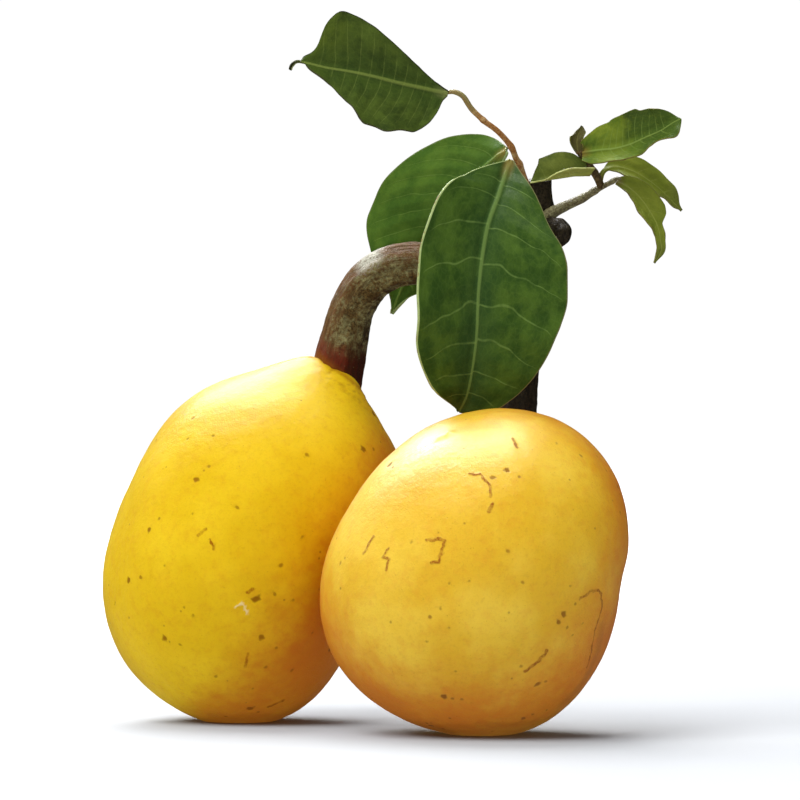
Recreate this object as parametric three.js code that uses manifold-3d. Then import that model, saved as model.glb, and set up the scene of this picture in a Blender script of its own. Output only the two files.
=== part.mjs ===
// Two ripe marulas still joined by their woody twig, as picked, with its leaves.
//
// The fruits stand side by side on a table, each on a small flat spot. A thick stalk rises from
// each fruit, and both stalks meet at the foot of a short twig with a clean cut end. The twig
// carries a compound leaf of three leaflets on one leaf stalk, a short spur, and a thin side
// shoot with four young leaves and a bud.
//
// Millimetres, +Z up, +X to the right and -Y to the front. The origin is the middle of the flat
// spot that the right fruit rests on.

import * as THREE from "three";
import { mergeVertices } from "three/addons/utils/BufferGeometryUtils.js";
import Module from "manifold-3d";

const wasm = await Module();
wasm.setup();

// ---- Driving dimensions --------------------------------------------------------------------

const GAP = 0.3; // clearance between pieces that touch on the plant
const LEAF_THICKNESS = 0.4;
const YOUNG_LEAF_THICKNESS = 0.35;

// A fruit is a sphere of `radius`, squeezed front to back by `depth`. Each lobe
// [count, height, turn] swells its side outline `count` times round, first at `turn` degrees
// above +X, by `height` of the radius. `stalkSide` points from its middle to the stalk, where
// the flesh rises by `neck` in a low shoulder.
const RIGHT_FRUIT = {
  centre: [-0.33, 0, 18.7],
  radius: 18.55,
  depth: 0.97,
  lobes: [
    [2, 0.07, 61.5],
    [3, 0.031, 62],
    [4, 0.014, 30],
  ],
  stalkSide: [0.22, 0.6, 0.77],
  neck: 0.6,
};
const LEFT_FRUIT = {
  centre: [-27.6, 24.6, 21.45],
  radius: 19.4,
  depth: 0.9,
  lobes: [
    [2, 0.155, 67],
    [3, 0.03, 38],
    [4, 0.02, 22],
  ],
  stalkSide: [0.4, -0.02, 0.92],
  neck: 2.3,
};
const NECK_RADIUS = 5;
const CRATER = { depth: 0.6, radius: 3.1 }; // the hollow that a stalk sits in
const COLLAR = { height: 0.5, radius: 4.6, width: 1.3 }; // the swollen ring round it

// Each woody piece follows a smooth curve through its points, from its thick end to its thin
// end, and its radius runs evenly through `radii`.
const LEFT_FRUIT_STALK = {
  route: [
    [-17.9, 24.4, 39.7],
    [-16.9, 24.1, 43.4],
    [-16.2, 23.6, 47.0],
    [-15.2, 23.0, 50.6],
    [-13.0, 22.0, 53.7],
    [-9.7, 20.6, 55.3],
    [-5.9, 19.2, 55.8],
    [-1.7, 17.8, 56.0],
    [2.5, 16.8, 56.5],
    [5.4, 16.4, 57.1],
  ],
  radii: [3.4, 3.05, 2.8, 2.6, 2.55, 2.5, 2.5, 2.6],
};
const RIGHT_FRUIT_STALK = {
  route: [
    [3.2, 10.4, 32.7],
    [4.0, 12.4, 37.3],
    [4.6, 13.8, 42.7],
    [5.3, 15.2, 48.7],
    [5.7, 16.0, 54.3],
  ],
  radii: [2.8, 2.7, 2.5, 2.4, 2.5],
};
const TWIG = {
  route: [
    [5.9, 16.4, 54.1],
    [6.3, 16.3, 56.9],
    [6.8, 15.9, 60.1],
    [7.1, 15.4, 63.1],
    [7.1, 15.0, 65.5],
  ],
  radii: [2.6, 2.7, 2.2, 1.75, 1.6],
};
const SPUR = {
  route: [
    [7.4, 15.4, 60.1],
    [8.8, 14.2, 60.6],
    [10.1, 13.2, 60.1],
    [10.5, 12.7, 59.0],
    [10.3, 12.4, 57.6],
  ],
  radii: [0.8, 0.85, 0.95, 0.9, 0.4],
};
const SIDE_SHOOT = {
  route: [
    [7.4, 15.0, 60.8],
    [9.7, 14.2, 62.0],
    [12.1, 13.4, 63.1],
    [14.2, 12.4, 64.3],
    [15.4, 11.4, 64.9],
    [16.3, 10.9, 65.4],
    [17.0, 10.6, 65.3],
  ],
  radii: [0.95, 0.68, 0.62, 0.6, 0.45, 0.38, 0.34],
};
const SIDE_SHOOT_FORK = {
  route: [
    [14.6, 12.2, 64.4],
    [14.0, 11.2, 65.7],
    [13.1, 10.4, 67.0],
    [12.2, 9.9, 68.0],
  ],
  radii: [0.45, 0.48, 0.42, 0.4],
};
const LEAF_STALK = {
  route: [
    [6.9, 14.2, 63.6],
    [5.3, 12.0, 66.5],
    [3.8, 10.7, 69.0],
    [1.0, 9.4, 71.3],
    [-0.9, 8.6, 73.3],
    [-2.2, 8.0, 75.1],
    [-3.4, 7.7, 75.7],
  ],
  radii: [0.75, 0.6, 0.5, 0.42, 0.4, 0.4],
};

// A leaf's midrib runs through its points from base to tip. `facing` is the way its upper side
// looks, at the base and at the tip. Seen on the upper side with the tip away, `left` and
// `right` are its halves: `width` at the widest, `fold` the degrees that the half lifts towards
// the upper side, `cup` how far its edge curls on, and `shape` its width at even steps from
// base to tip, as shares of the widest.
const LEAVES = {
  front_leaf: {
    midrib: [
      [3.7, 9.8, 67.6],
      [2.1, 6.8, 63.4],
      [0.8, 4.8, 58.9],
      [-0.1, 3.7, 52.6],
      [-0.5, 4.2, 45.8],
      [-1.2, 6.0, 40.1],
      [-1.8, 8.2, 37.7],
    ],
    facing: [
      [0, -1, 0.35],
      [0, -1, -0.1],
    ],
    left: { width: 10.6, fold: 6, cup: -0.8, shape: [0.05, 0.44, 0.82, 0.97, 1, 0.84, 0.58, 0.06] },
    right: { width: 8.1, fold: 28, cup: 0.5, shape: [0.05, 0.54, 0.9, 0.99, 1, 0.95, 0.68, 0.08] },
  },
  back_leaf: {
    midrib: [
      [3.2, 12.8, 68.9],
      [0.8, 15.8, 67.2],
      [-2.8, 20.8, 63.3],
      [-6.4, 25.4, 58.2],
      [-9.0, 27.8, 53.3],
      [-10.5, 28.8, 49.6],
    ],
    facing: [
      [-0.2, -0.9, 0.5],
      [-0.2, -0.95, 0.1],
    ],
    left: { width: 7.4, fold: -16, cup: -0.4, shape: [0.05, 0.45, 0.8, 0.97, 1, 0.84, 0.5, 0.04] },
    right: { width: 9.0, fold: 6, cup: -0.4, shape: [0.05, 0.48, 0.76, 0.93, 1, 0.92, 0.6, 0.04] },
  },
  upper_leaf: {
    midrib: [
      [-3.8, 7.5, 75.7],
      [-6.9, 6.4, 76.1],
      [-10.3, 5.4, 76.9],
      [-13.8, 4.6, 77.6],
      [-17.2, 4.0, 78.1],
      [-21.2, 3.6, 78.7],
    ],
    facing: [
      [0, -1, 0.1],
      [0, -1, 0.2],
    ],
    left: { width: 6.9, fold: 12, cup: 0.3, shape: [0.06, 0.58, 0.92, 1, 0.96, 0.62, 0.27, 0.03] },
    right: { width: 6.8, fold: 24, cup: -0.8, shape: [0.06, 0.18, 0.37, 0.59, 0.82, 1, 0.9, 0.03] },
  },
  young_leaf_top: {
    midrib: [
      [12.8, 9.4, 68.2],
      [14.7, 8.6, 68.9],
      [17.5, 7.2, 69.5],
      [20.1, 6.0, 70.5],
      [23.7, 5.2, 72.3],
    ],
    facing: [
      [0, -1, 0.3],
      [0.2, -1, 0.5],
    ],
    left: { width: 3.6, fold: 20, cup: 0.3, shape: [0.16, 0.66, 0.9, 1, 0.9, 0.6, 0.04] },
    right: { width: 2.7, fold: 16, cup: 0.3, shape: [0.16, 0.8, 1, 0.95, 0.68, 0.6, 0.06] },
  },
  young_leaf_left: {
    midrib: [
      [12.5, 9.3, 66.5],
      [11.3, 8.6, 65.7],
      [9.5, 7.8, 65.4],
      [7.7, 7.2, 65.1],
      [5.9, 6.9, 64.7],
    ],
    facing: [
      [0, -0.25, 1],
      [-0.2, -0.3, 1],
    ],
    left: { width: 2.3, fold: 34, cup: 0.1, shape: [0.4, 0.94, 1, 0.92, 0.62, 0.26, 0.06] },
    right: { width: 2.8, fold: 58, cup: 0.1, shape: [0.3, 0.85, 0.97, 1, 0.96, 0.66, 0.06] },
  },
  young_leaf_right: {
    midrib: [
      [14.9, 12.0, 66.5],
      [15.6, 12.4, 66.8],
      [17.3, 12.9, 66.7],
      [19.5, 13.8, 65.9],
      [21.7, 14.8, 64.4],
      [24.3, 15.8, 61.8],
    ],
    facing: [
      [0.2, -0.9, 0.7],
      [0.4, -0.9, 0.5],
    ],
    left: { width: 2.2, fold: 26, cup: 0.2, shape: [0.14, 0.3, 0.9, 1, 0.9, 0.5, 0.04] },
    right: { width: 2.3, fold: 22, cup: 0.2, shape: [0.14, 0.3, 0.9, 1, 0.9, 0.56, 0.04] },
  },
  young_leaf_hanging: {
    midrib: [
      [17.4, 10.5, 65.1],
      [18.8, 10.0, 63.9],
      [20.5, 9.4, 61.7],
      [21.4, 9.0, 59.5],
      [21.5, 8.6, 57.5],
      [20.9, 8.2, 55.5],
    ],
    facing: [
      [0.2, -0.9, 0.4],
      [0.5, -0.9, 0],
    ],
    left: { width: 1.9, fold: 18, cup: 0.2, shape: [0.14, 0.8, 1, 0.9, 0.5, 0.5, 0.08] },
    right: { width: 1.7, fold: 20, cup: 0.2, shape: [0.14, 0.6, 0.94, 1, 0.66, 0.34, 0.06] },
  },
  bud: {
    midrib: [
      [11.8, 9.6, 68.7],
      [11.6, 9.7, 69.9],
      [11.8, 10.0, 70.8],
      [12.1, 10.3, 71.7],
    ],
    facing: [
      [-0.2, -1, 0.1],
      [0, -1, 0],
    ],
    left: { width: 0.9, fold: 34, cup: 0.1, shape: [0.4, 0.95, 1, 0.6, 0.12] },
    right: { width: 1.0, fold: 34, cup: 0.1, shape: [0.4, 0.8, 1, 0.6, 0.12] },
  },
};
const BIG_LEAVES = ["front_leaf", "back_leaf", "upper_leaf"];

// ---- Shaping helpers -----------------------------------------------------------------------

const FINENESS = {
  fruit: 10, // subdivisions of the icosahedron that a fruit starts from
  big: { across: 8, along: 18 },
  young: { across: 6, along: 12 },
};
const TINY = 1e-3; // step for finding a surface's slope

const vector = (point) => new THREE.Vector3(...point);
const radians = THREE.MathUtils.degToRad;

// A smooth rise that is 1 in the middle and almost gone two `distance`s away.
const bump = (distance) => Math.exp(-(distance ** 2));

// A smooth curve's value at `along`, from 0 to 1, through evenly spaced values.
function smoothly(values, along) {
  const spline = new THREE.SplineCurve(values.map((value, i) => new THREE.Vector2(i, value)));
  return spline.getPoint(along).y;
}

// Moves every vertex of a primitive. Its doubled vertices are merged first, so it stays closed.
function moulded(primitive, shape) {
  primitive.deleteAttribute("normal");
  primitive.deleteAttribute("uv");
  const geometry = mergeVertices(primitive);
  const position = geometry.getAttribute("position");
  const point = new THREE.Vector3();
  for (let i = 0; i < position.count; i += 1) {
    point.fromBufferAttribute(position, i);
    shape(point);
    position.setXYZ(i, point.x, point.y, point.z);
  }
  return geometry;
}

function solid(geometry) {
  const vertProperties = geometry.getAttribute("position").array;
  const triVerts = new Uint32Array(geometry.index.array);
  return new wasm.Manifold(new wasm.Mesh({ numProp: 3, vertProperties, triVerts }));
}

function geometryOf(made) {
  const { vertProperties, triVerts } = made.getMesh();
  const geometry = new THREE.BufferGeometry();
  geometry.setAttribute("position", new THREE.BufferAttribute(vertProperties, 3));
  geometry.setIndex(new THREE.BufferAttribute(triVerts, 1));
  geometry.computeVertexNormals();
  return geometry;
}

const cut = (made, ...cutters) => cutters.reduce((left, cutter) => left.subtract(cutter), made);

// ---- Fruit ---------------------------------------------------------------------------------

function fruitSurface({ centre, radius, depth, lobes, stalkSide, neck }) {
  const middle = vector(centre);
  const pole = vector(stalkSide).normalize();
  return (point) => {
    const direction = point.normalize();
    const turn = Math.atan2(direction.z, direction.x);
    const across = Math.hypot(direction.z, direction.x);
    let reach = radius;
    for (const [count, height, first] of lobes)
      reach += radius * height * across ** count * Math.cos(count * (turn - radians(first)));
    const fromStalk = radius * direction.angleTo(pole);
    reach += neck * bump(fromStalk / NECK_RADIUS);
    reach += COLLAR.height * bump((fromStalk - COLLAR.radius) / COLLAR.width);
    reach -= CRATER.depth * bump(fromStalk / CRATER.radius);
    point.set(direction.x * reach, direction.y * reach * depth, direction.z * reach).add(middle);
  };
}

function floor() {
  const size = 200;
  const slab = new THREE.BoxGeometry(size, size, size).translate(0, 0, -size / 2);
  return solid(moulded(slab, () => {}));
}

function fruit(dimensions, stalk) {
  const start = new THREE.IcosahedronGeometry(1, FINENESS.fruit);
  const flesh = solid(moulded(start, fruitSurface(dimensions)));
  return cut(flesh, floor(), shoot(stalk, GAP));
}

// ---- Stalks, twig and shoots -----------------------------------------------------------------

// A round woody piece along its route. `grow` makes it that much bigger all over, as the cutter
// that leaves clearance in its neighbours.
function shoot({ route, radii }, grow = 0) {
  const points = route.map(vector);
  const [first, second] = points;
  const [last, beforeLast] = [...points].reverse();
  const stretch = (end, inner) => end.addScaledVector(end.clone().sub(inner).normalize(), grow);
  stretch(first, second);
  stretch(last, beforeLast);

  const curve = new THREE.CatmullRomCurve3(points);
  const sides = radii[0] > 1.5 ? 16 : 10;
  const rings = route.length * 3;
  const { normals, binormals } = curve.computeFrenetFrames(rings);
  const start = new THREE.CylinderGeometry(1, 1, 1, sides, rings);
  const made = moulded(start, (point) => {
    const along = THREE.MathUtils.clamp(point.y + 0.5, 0, 1);
    const ring = Math.round(along * rings);
    const radius = smoothly(radii, along) + grow;
    const { x, z } = point;
    point.copy(curve.getPointAt(along));
    point.addScaledVector(binormals[ring], x * radius);
    point.addScaledVector(normals[ring], z * radius);
  });
  return solid(made);
}

function sideShoot() {
  return shoot(SIDE_SHOOT).add(shoot(SIDE_SHOOT_FORK));
}

// ---- Leaves ----------------------------------------------------------------------------------

// The leaf's middle surface: `along` from 0 at the base to 1 at the tip, `side` from -1 at the
// left edge to 1 at the right edge.
function leafSurface({ midrib, facing, left, right }) {
  const spine = new THREE.CatmullRomCurve3(midrib.map(vector));
  const [baseFacing, tipFacing] = facing.map(vector);
  return (along, side) => {
    const half = side < 0 ? left : right;
    const width = half.width * smoothly(half.shape, along) * Math.abs(side);
    const tangent = spine.getTangentAt(along);
    const up = baseFacing.clone().lerp(tipFacing, along);
    const outward = tangent.clone().cross(up).normalize();
    const upward = outward.clone().cross(tangent).normalize();
    const fold = radians(half.fold);
    const lift = width * Math.sin(fold) + half.cup * (width / half.width) ** 2;
    return spine
      .getPointAt(along)
      .addScaledVector(outward, Math.sign(side) * width * Math.cos(fold))
      .addScaledVector(upward, lift);
  };
}

function leaf(name, thickness, { across, along }) {
  const surface = leafSurface(LEAVES[name]);
  const start = new THREE.BoxGeometry(2, 1, 1, across, along, 1);
  const made = moulded(start, (point) => {
    const t = THREE.MathUtils.clamp(point.y + 0.5, TINY, 1 - TINY);
    const s = point.x;
    const layer = point.z * thickness;
    const acrossStep = surface(t, s * (1 - TINY) + TINY).sub(surface(t, s * (1 - TINY) - TINY));
    const alongStep = surface(t + TINY, s).sub(surface(t - TINY, s));
    const normal = acrossStep.cross(alongStep).normalize();
    point.copy(surface(t, s)).addScaledVector(normal, layer);
  });
  return solid(made);
}

const bigLeaf = (name) => leaf(name, LEAF_THICKNESS, FINENESS.big);
const youngLeaf = (name) => leaf(name, YOUNG_LEAF_THICKNESS, FINENESS.young);

// ---- Materials -------------------------------------------------------------------------------

function material(color, roughness) {
  return new THREE.MeshStandardMaterial({ color, roughness, metalness: 0 });
}

const RIPE_SKIN = material(0xe8b92c, 0.42);
const STALK_BARK = material(0x6b4a35, 0.5);
const DARK_BARK = material(0x3a2f2a, 0.6);
const SHOOT_BARK = material(0x7a6f55, 0.65);
const LEAF_STALK_SKIN = material(0xa87a45, 0.55);
const LEAF_GREEN = material(0x3f6526, 0.45);
const YOUNG_LEAF_GREEN = material(0x7f9a34, 0.5);

// ---- Assembly --------------------------------------------------------------------------------

const marulas = new THREE.Group();

function place(name, made, finish) {
  const mesh = new THREE.Mesh(geometryOf(made), finish);
  mesh.name = name;
  marulas.add(mesh);
}

const twigCutter = shoot(TWIG, GAP);
const rightStalkCutter = shoot(RIGHT_FRUIT_STALK, GAP);
const leafStalkCutter = shoot(LEAF_STALK, GAP);
const sideShootCutter = shoot(SIDE_SHOOT, GAP).add(shoot(SIDE_SHOOT_FORK, GAP));

place("left_fruit", fruit(LEFT_FRUIT, LEFT_FRUIT_STALK), RIPE_SKIN);
place("right_fruit", fruit(RIGHT_FRUIT, RIGHT_FRUIT_STALK), RIPE_SKIN);
place(
  "left_fruit_stalk",
  cut(shoot(LEFT_FRUIT_STALK), twigCutter, rightStalkCutter),
  STALK_BARK,
);
place("right_fruit_stalk", cut(shoot(RIGHT_FRUIT_STALK), twigCutter), STALK_BARK);
place("twig", shoot(TWIG), DARK_BARK);
place("spur", cut(shoot(SPUR), twigCutter, sideShootCutter), DARK_BARK);
place("side_shoot", cut(sideShoot(), twigCutter), SHOOT_BARK);
place("leaf_stalk", cut(shoot(LEAF_STALK), twigCutter), LEAF_STALK_SKIN);

for (const name of Object.keys(LEAVES)) {
  if (BIG_LEAVES.includes(name)) place(name, cut(bigLeaf(name), leafStalkCutter), LEAF_GREEN);
  else place(name, cut(youngLeaf(name), sideShootCutter), YOUNG_LEAF_GREEN);
}

export default marulas;
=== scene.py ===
# %% [markdown]
# # Two marulas on their twig
#
# Marulas are yellow, plum-sized fruits of an African tree. This lesson rebuilds a pair of them as
# they were picked: two fruits on thick stalks that meet in one woody twig, with the compound leaf
# and the small young leaves that grow beside them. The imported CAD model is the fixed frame. It
# says where each piece is and how big it is, and every shape below is placed by its boxes, so the
# detailed pieces can only land where the plain ones stood.

# %% Load the frame
import math

import bmesh
import bpy
import numpy as np
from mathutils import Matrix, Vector, kdtree, noise


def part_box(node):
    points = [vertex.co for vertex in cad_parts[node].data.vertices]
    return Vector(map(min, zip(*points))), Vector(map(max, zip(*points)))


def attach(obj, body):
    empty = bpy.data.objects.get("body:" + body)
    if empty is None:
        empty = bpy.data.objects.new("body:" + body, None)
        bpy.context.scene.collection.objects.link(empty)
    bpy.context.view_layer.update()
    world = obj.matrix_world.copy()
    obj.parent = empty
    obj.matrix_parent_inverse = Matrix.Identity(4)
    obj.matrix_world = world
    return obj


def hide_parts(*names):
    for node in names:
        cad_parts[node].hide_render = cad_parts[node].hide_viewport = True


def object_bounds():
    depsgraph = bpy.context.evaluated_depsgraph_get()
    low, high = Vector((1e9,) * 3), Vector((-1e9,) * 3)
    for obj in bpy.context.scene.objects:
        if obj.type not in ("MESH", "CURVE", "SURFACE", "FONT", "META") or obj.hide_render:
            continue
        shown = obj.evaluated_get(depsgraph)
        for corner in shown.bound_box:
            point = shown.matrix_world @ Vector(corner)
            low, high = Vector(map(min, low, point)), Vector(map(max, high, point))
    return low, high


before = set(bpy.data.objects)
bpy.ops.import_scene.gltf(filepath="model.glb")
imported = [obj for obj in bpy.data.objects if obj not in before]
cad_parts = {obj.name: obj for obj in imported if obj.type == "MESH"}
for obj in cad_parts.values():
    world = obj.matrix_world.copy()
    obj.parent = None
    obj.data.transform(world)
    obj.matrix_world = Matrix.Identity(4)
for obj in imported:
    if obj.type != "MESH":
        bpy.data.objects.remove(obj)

MM = 0.001
cad_low, cad_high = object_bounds()
print("frame pieces:", len(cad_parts), "height in mm:", round(cad_high.z / MM, 1))

# %% [markdown]
# ## A ruler for the pieces
#
# A place on a piece is given as shares of its CAD box: (0, 0, 0) is the low left front corner and
# (1, 1, 1) the high right back one. A leaf or a stalk needs more than a place, it needs a smooth
# line through several places. One could draw a Bezier curve by hand, but then every handle has to
# be set too. A spline through the points themselves needs no handles, so that is used here, and
# the same small function also smooths widths and thicknesses.


# %% Places and smooth lines
def place_in(node, share):
    """A point in a CAD node's box, given as shares of its width, depth and height."""
    low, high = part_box(node)
    return np.array([low[i] + share[i] * (high[i] - low[i]) for i in range(3)])


def smoothly(values, share):
    """Where a smooth curve through evenly spaced values is at each share from 0 to 1."""
    values = np.asarray(values, float)
    at = np.clip(np.asarray(share, float), 0, 1) * (len(values) - 1)
    step = np.minimum(at.astype(int), len(values) - 2)
    a, b, c, d = (values[np.clip(step + k, 0, len(values) - 1)] for k in (-1, 0, 1, 2))
    w = at - step if values.ndim == 1 else (at - step)[..., None]
    return b + 0.5 * w * (c - a + w * (2 * a - 5 * b + 4 * c - d + w * (3 * (b - c) + d - a)))


def bump(distance):
    """A smooth rise: 1 in the middle and almost gone two distances away."""
    return np.exp(-(distance**2))


def unit(vectors):
    return vectors / np.linalg.norm(vectors, axis=-1, keepdims=True)


class Route:
    """A smooth line through places in a CAD node's box, measured along its length."""

    def __init__(self, node, shares):
        places = np.array([place_in(node, share) for share in shares])
        self.points = smoothly(places, np.linspace(0, 1, 801))
        steps = np.linalg.norm(np.diff(self.points, axis=0), axis=1)
        self.reach = np.concatenate([[0], np.cumsum(steps)])
        self.length = self.reach[-1]

    def at(self, share):
        metres = np.asarray(share, float) * self.length
        inside = np.stack([np.interp(metres, self.reach, axis) for axis in self.points.T], -1)
        before = np.minimum(metres, 0)[..., None] * unit(self.points[1] - self.points[0])
        after = np.maximum(metres - self.length, 0)[..., None]
        return inside + before + after * unit(self.points[-1] - self.points[-2])

    def heading(self, share, step=0.005):
        share = np.asarray(share, float)
        return unit(self.at(share + step) - self.at(share - step))


# %% [markdown]
# ## Handing a piece in
#
# A finished piece is one object at the origin with its place in its mesh. It rides on the body of
# the CAD piece it replaces. Own measurements, such as how far along a stalk a point lies, are kept
# on the mesh as attributes, so that the materials can follow the surface later.


# %% Hand in a piece
def hand_in(bm, name, node, materials, moved=None, attributes=None):
    mesh = bpy.data.meshes.new(name)
    bm.to_mesh(mesh)
    bm.free()
    if moved is not None:
        mesh.vertices.foreach_set("co", np.asarray(moved, np.float32).ravel())
    for label, values in (attributes or {}).items():
        values = np.asarray(values, np.float32)
        kind, key = ("FLOAT", "value") if values.ndim == 1 else ("FLOAT_VECTOR", "vector")
        mesh.attributes.new(label, kind, "POINT").data.foreach_set(key, values.ravel())
    for material in materials:
        mesh.materials.append(material)
    mesh.shade_smooth()
    mesh.update()
    piece = bpy.data.objects.new(name, mesh)
    bpy.context.scene.collection.objects.link(piece)
    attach(piece, "root")
    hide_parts(node)
    mesh.calc_loop_triangles()
    print(f"{name}: {len(mesh.loop_triangles)} triangles")
    return piece


def corners(bm):
    """Every vertex of a bmesh as one array."""
    bm.verts.ensure_lookup_table()
    return np.array([vertex.co for vertex in bm.verts])


# %% [markdown]
# ## Camera
#
# A long lens from well back and level with the middle of the whole thing flattens the view, as
# in a studio. Its place comes from the box of the whole object.

# %% Camera
LENS, SENSOR = 230.8, 36  # mm
CAMERA_BACK, CAMERA_RIGHT = 0.6, 1.2 * MM
CAMERA_HEIGHT = 0.462  # as a share of the object's height
camera_data = bpy.data.cameras.new("camera")
camera_data.lens, camera_data.sensor_width = LENS, SENSOR
camera = bpy.data.objects.new("camera", camera_data)
middle = (cad_low + cad_high) / 2
camera.location = (middle.x + CAMERA_RIGHT, -CAMERA_BACK, CAMERA_HEIGHT * cad_high.z)
camera.rotation_euler = (math.radians(90), 0, 0)
bpy.context.scene.collection.objects.link(camera)
bpy.context.scene.camera = camera
print("camera at", [round(x, 4) for x in camera.location])

# %% [markdown]
# ## Mixing finishes
#
# A procedural material is a graph: small nodes that hand colours and numbers on to each other.
# Clicking them together takes long, so a helper adds one node at a time and gives back the socket
# that the next node reads. Colours are typed as they would be in a paint program, from 0 to 255,
# and turned into the linear light values that Blender mixes.


# %% Colours
def paint(red, green, blue):
    """A screen colour as linear light."""
    shares = [channel / 255 for channel in (red, green, blue)]
    return [s / 12.92 if s <= 0.04045 else ((s + 0.055) / 1.055) ** 2.4 for s in shares] + [1]


# %% Node helpers
class Graph:
    """Adds nodes to one node tree, and gives back the socket that the next node reads."""

    def __init__(self, tree):
        self.tree = tree

    def node(self, kind, inputs=None, **settings):
        made = self.tree.nodes.new("ShaderNode" + kind)
        for name, value in settings.items():
            setattr(made, name, value)
        for key, value in (inputs or {}).items():
            self.plug(value, made.inputs[key])
        return made

    def plug(self, value, socket):
        if isinstance(value, bpy.types.NodeSocket):
            self.tree.links.new(value, socket)
        else:
            socket.default_value = value

    def math(self, operation, a, b=0.0, c=0.0):
        return self.node("Math", {0: a, 1: b, 2: c}, operation=operation).outputs[0]

    def times(self, a, b):
        return self.math("MULTIPLY", a, b)

    def fade(self, value, low, high, to_low=0.0, to_high=1.0):
        """Eases from to_low to to_high while value goes from low to high."""
        ends = {"Value": value, "From Min": low, "From Max": high}
        ends.update({"To Min": to_low, "To Max": to_high})
        return self.node("MapRange", ends, interpolation_type="SMOOTHSTEP").outputs[0]

    def blend(self, share, under, over):
        """The colour under, covered by a share of the colour over."""
        return self.node("Mix", {0: share, 6: under, 7: over}, data_type="RGBA").outputs[2]

    def noise(self, at, scale, detail=2.0, roughness=0.5, distortion=0.0):
        inputs = {"Vector": at, "Scale": scale, "Detail": detail, "Roughness": roughness}
        return self.node("TexNoise", {**inputs, "Distortion": distortion}).outputs["Fac"]

    def cells(self, at, scale, feature="F1"):
        return self.node("TexVoronoi", {"Vector": at, "Scale": scale}, feature=feature).outputs

    def millimetres(self, at):
        """Counts a place in millimetres, so that a scale of 1 means one grain per millimetre."""
        return self.node("Mapping", {"Vector": at, "Scale": [1 / MM] * 3}).outputs[0]

    def place(self):
        return self.millimetres(self.node("TexCoord").outputs["Object"])

    def attribute(self, name, output="Vector"):
        return self.node("Attribute", attribute_name=name).outputs[output]

    def parts(self, vector):
        return self.node("SeparateXYZ", {0: vector}).outputs

    def group(self, group, inputs):
        made = self.tree.nodes.new("ShaderNodeGroup")
        made.node_tree = group
        for key, value in inputs.items():
            self.plug(value, made.inputs[key])
        return made.outputs


# %% New groups and finishes
def new_group(name, inputs, outputs):
    """An empty node group with its sockets, and its two ends."""
    kinds = {"number": "NodeSocketFloat", "place": "NodeSocketVector", "colour": "NodeSocketColor"}
    tree = bpy.data.node_groups.new(name, "ShaderNodeTree")
    for label, kind in inputs.items():
        tree.interface.new_socket(label, in_out="INPUT", socket_type=kinds[kind])
    for label, kind in outputs.items():
        tree.interface.new_socket(label, in_out="OUTPUT", socket_type=kinds[kind])
    start, end = tree.nodes.new("NodeGroupInput"), tree.nodes.new("NodeGroupOutput")
    return tree, Graph(tree), start.outputs, end.inputs


def new_finish(name, **constants):
    """A material with one Principled shader. Numbers that never change go on its own sockets."""
    material = bpy.data.materials.new(name)
    material.use_nodes = True
    shader = material.node_tree.nodes["Principled BSDF"]
    for label, value in constants.items():
        shader.inputs[label.replace("_", " ")].default_value = value
    return material, Graph(material.node_tree), shader.inputs


# %% [markdown]
# ## Fine specks, for skin and bark alike
#
# Fruit skin and young bark both breathe through pores, seen as tiny specks. They could be drawn
# one by one, but there are thousands. A Voronoi texture scatters one point in each small cell of
# space: near the point is speck, and a random number per cell leaves most cells empty, which
# keeps the specks from looking like a pattern.

# %% Speck group
speck_group, graph, given, result = new_group(
    "pore_specks",
    {"Place": "place", "Scale": "number", "Size": "number", "Amount": "number"},
    {"Specks": "number"},
)
cell = graph.cells(given["Place"], given["Scale"])
chance = graph.parts(cell["Color"])[0]
kept = graph.math("LESS_THAN", chance, given["Amount"])
inner = graph.times(given["Size"], 0.45)
close = graph.fade(cell["Distance"], given["Size"], inner)
graph.plug(graph.times(close, kept), result["Specks"])
print("pore specks:", len(speck_group.nodes), "nodes")

# %% [markdown]
# ## The skin of a ripe marula
#
# A ripe skin is a thin waxy peel over juicy flesh. Its yellow isn't even: cloudy patches are paler,
# and faint freckles sit in it. Here each fruit also turns orange on the side away from the light,
# which is partly real flush and partly painted shade. All of this goes into one group with a few
# colours as its inputs, and each fruit places the group with its own values. The scars, spots and
# bruises are another matter, because they have a place of their own. They come as masks from the
# mesh, where they are also raised or sunk a little. A scar is dry cork, so the group makes it
# rough, and says how much of the wax coat is left at each point.

# %% Skin group
skin_group, graph, given, result = new_group(
    "ripe_skin",
    {
        "Place": "place",
        "Yellow": "colour",
        "Pale": "colour",
        "Orange": "colour",
        "Flush And Shade": "number",
        "Scar": "number",
        "Spot": "number",
        "Corky": "number",
        "Bruise": "number",
    },
    {"Colour": "colour", "Roughness": "number", "Wax": "number", "Height": "number"},
)
clouds = graph.noise(given["Place"], 0.11, 3, 0.55)
colour = graph.blend(graph.fade(clouds, 0.38, 0.7), given["Yellow"], given["Pale"])
mottle = graph.noise(given["Place"], 0.75, 4, 0.65)
colour = graph.blend(graph.fade(mottle, 0.45, 0.75, 0, 0.2), colour, given["Orange"])
# The flush input is orange away from the lit side: partly real flush, partly painted shade.
warmth_and_shade = graph.math("ADD", given["Flush And Shade"], graph.fade(clouds, 0.3, 0.7, 0.1, -0.1))
warmth_and_shade = graph.math("ADD", warmth_and_shade, graph.fade(mottle, 0.3, 0.7, -0.06, 0.06))
colour = graph.blend(graph.fade(warmth_and_shade, 0.0, 1.0), colour, given["Orange"])
grain = graph.noise(given["Place"], 5.0, 3, 0.6)
colour = graph.blend(graph.fade(grain, 0.5, 0.8, 0, 0.2), colour, paint(168, 108, 8))
peel = graph.noise(given["Place"], 1.7, 3, 0.6)
colour = graph.blend(graph.fade(peel, 0.5, 0.75, 0, 0.14), colour, paint(186, 124, 10))
pores = graph.group(
    speck_group, {"Place": given["Place"], "Scale": 1.35, "Size": 0.11, "Amount": 0.5}
)["Specks"]
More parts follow.
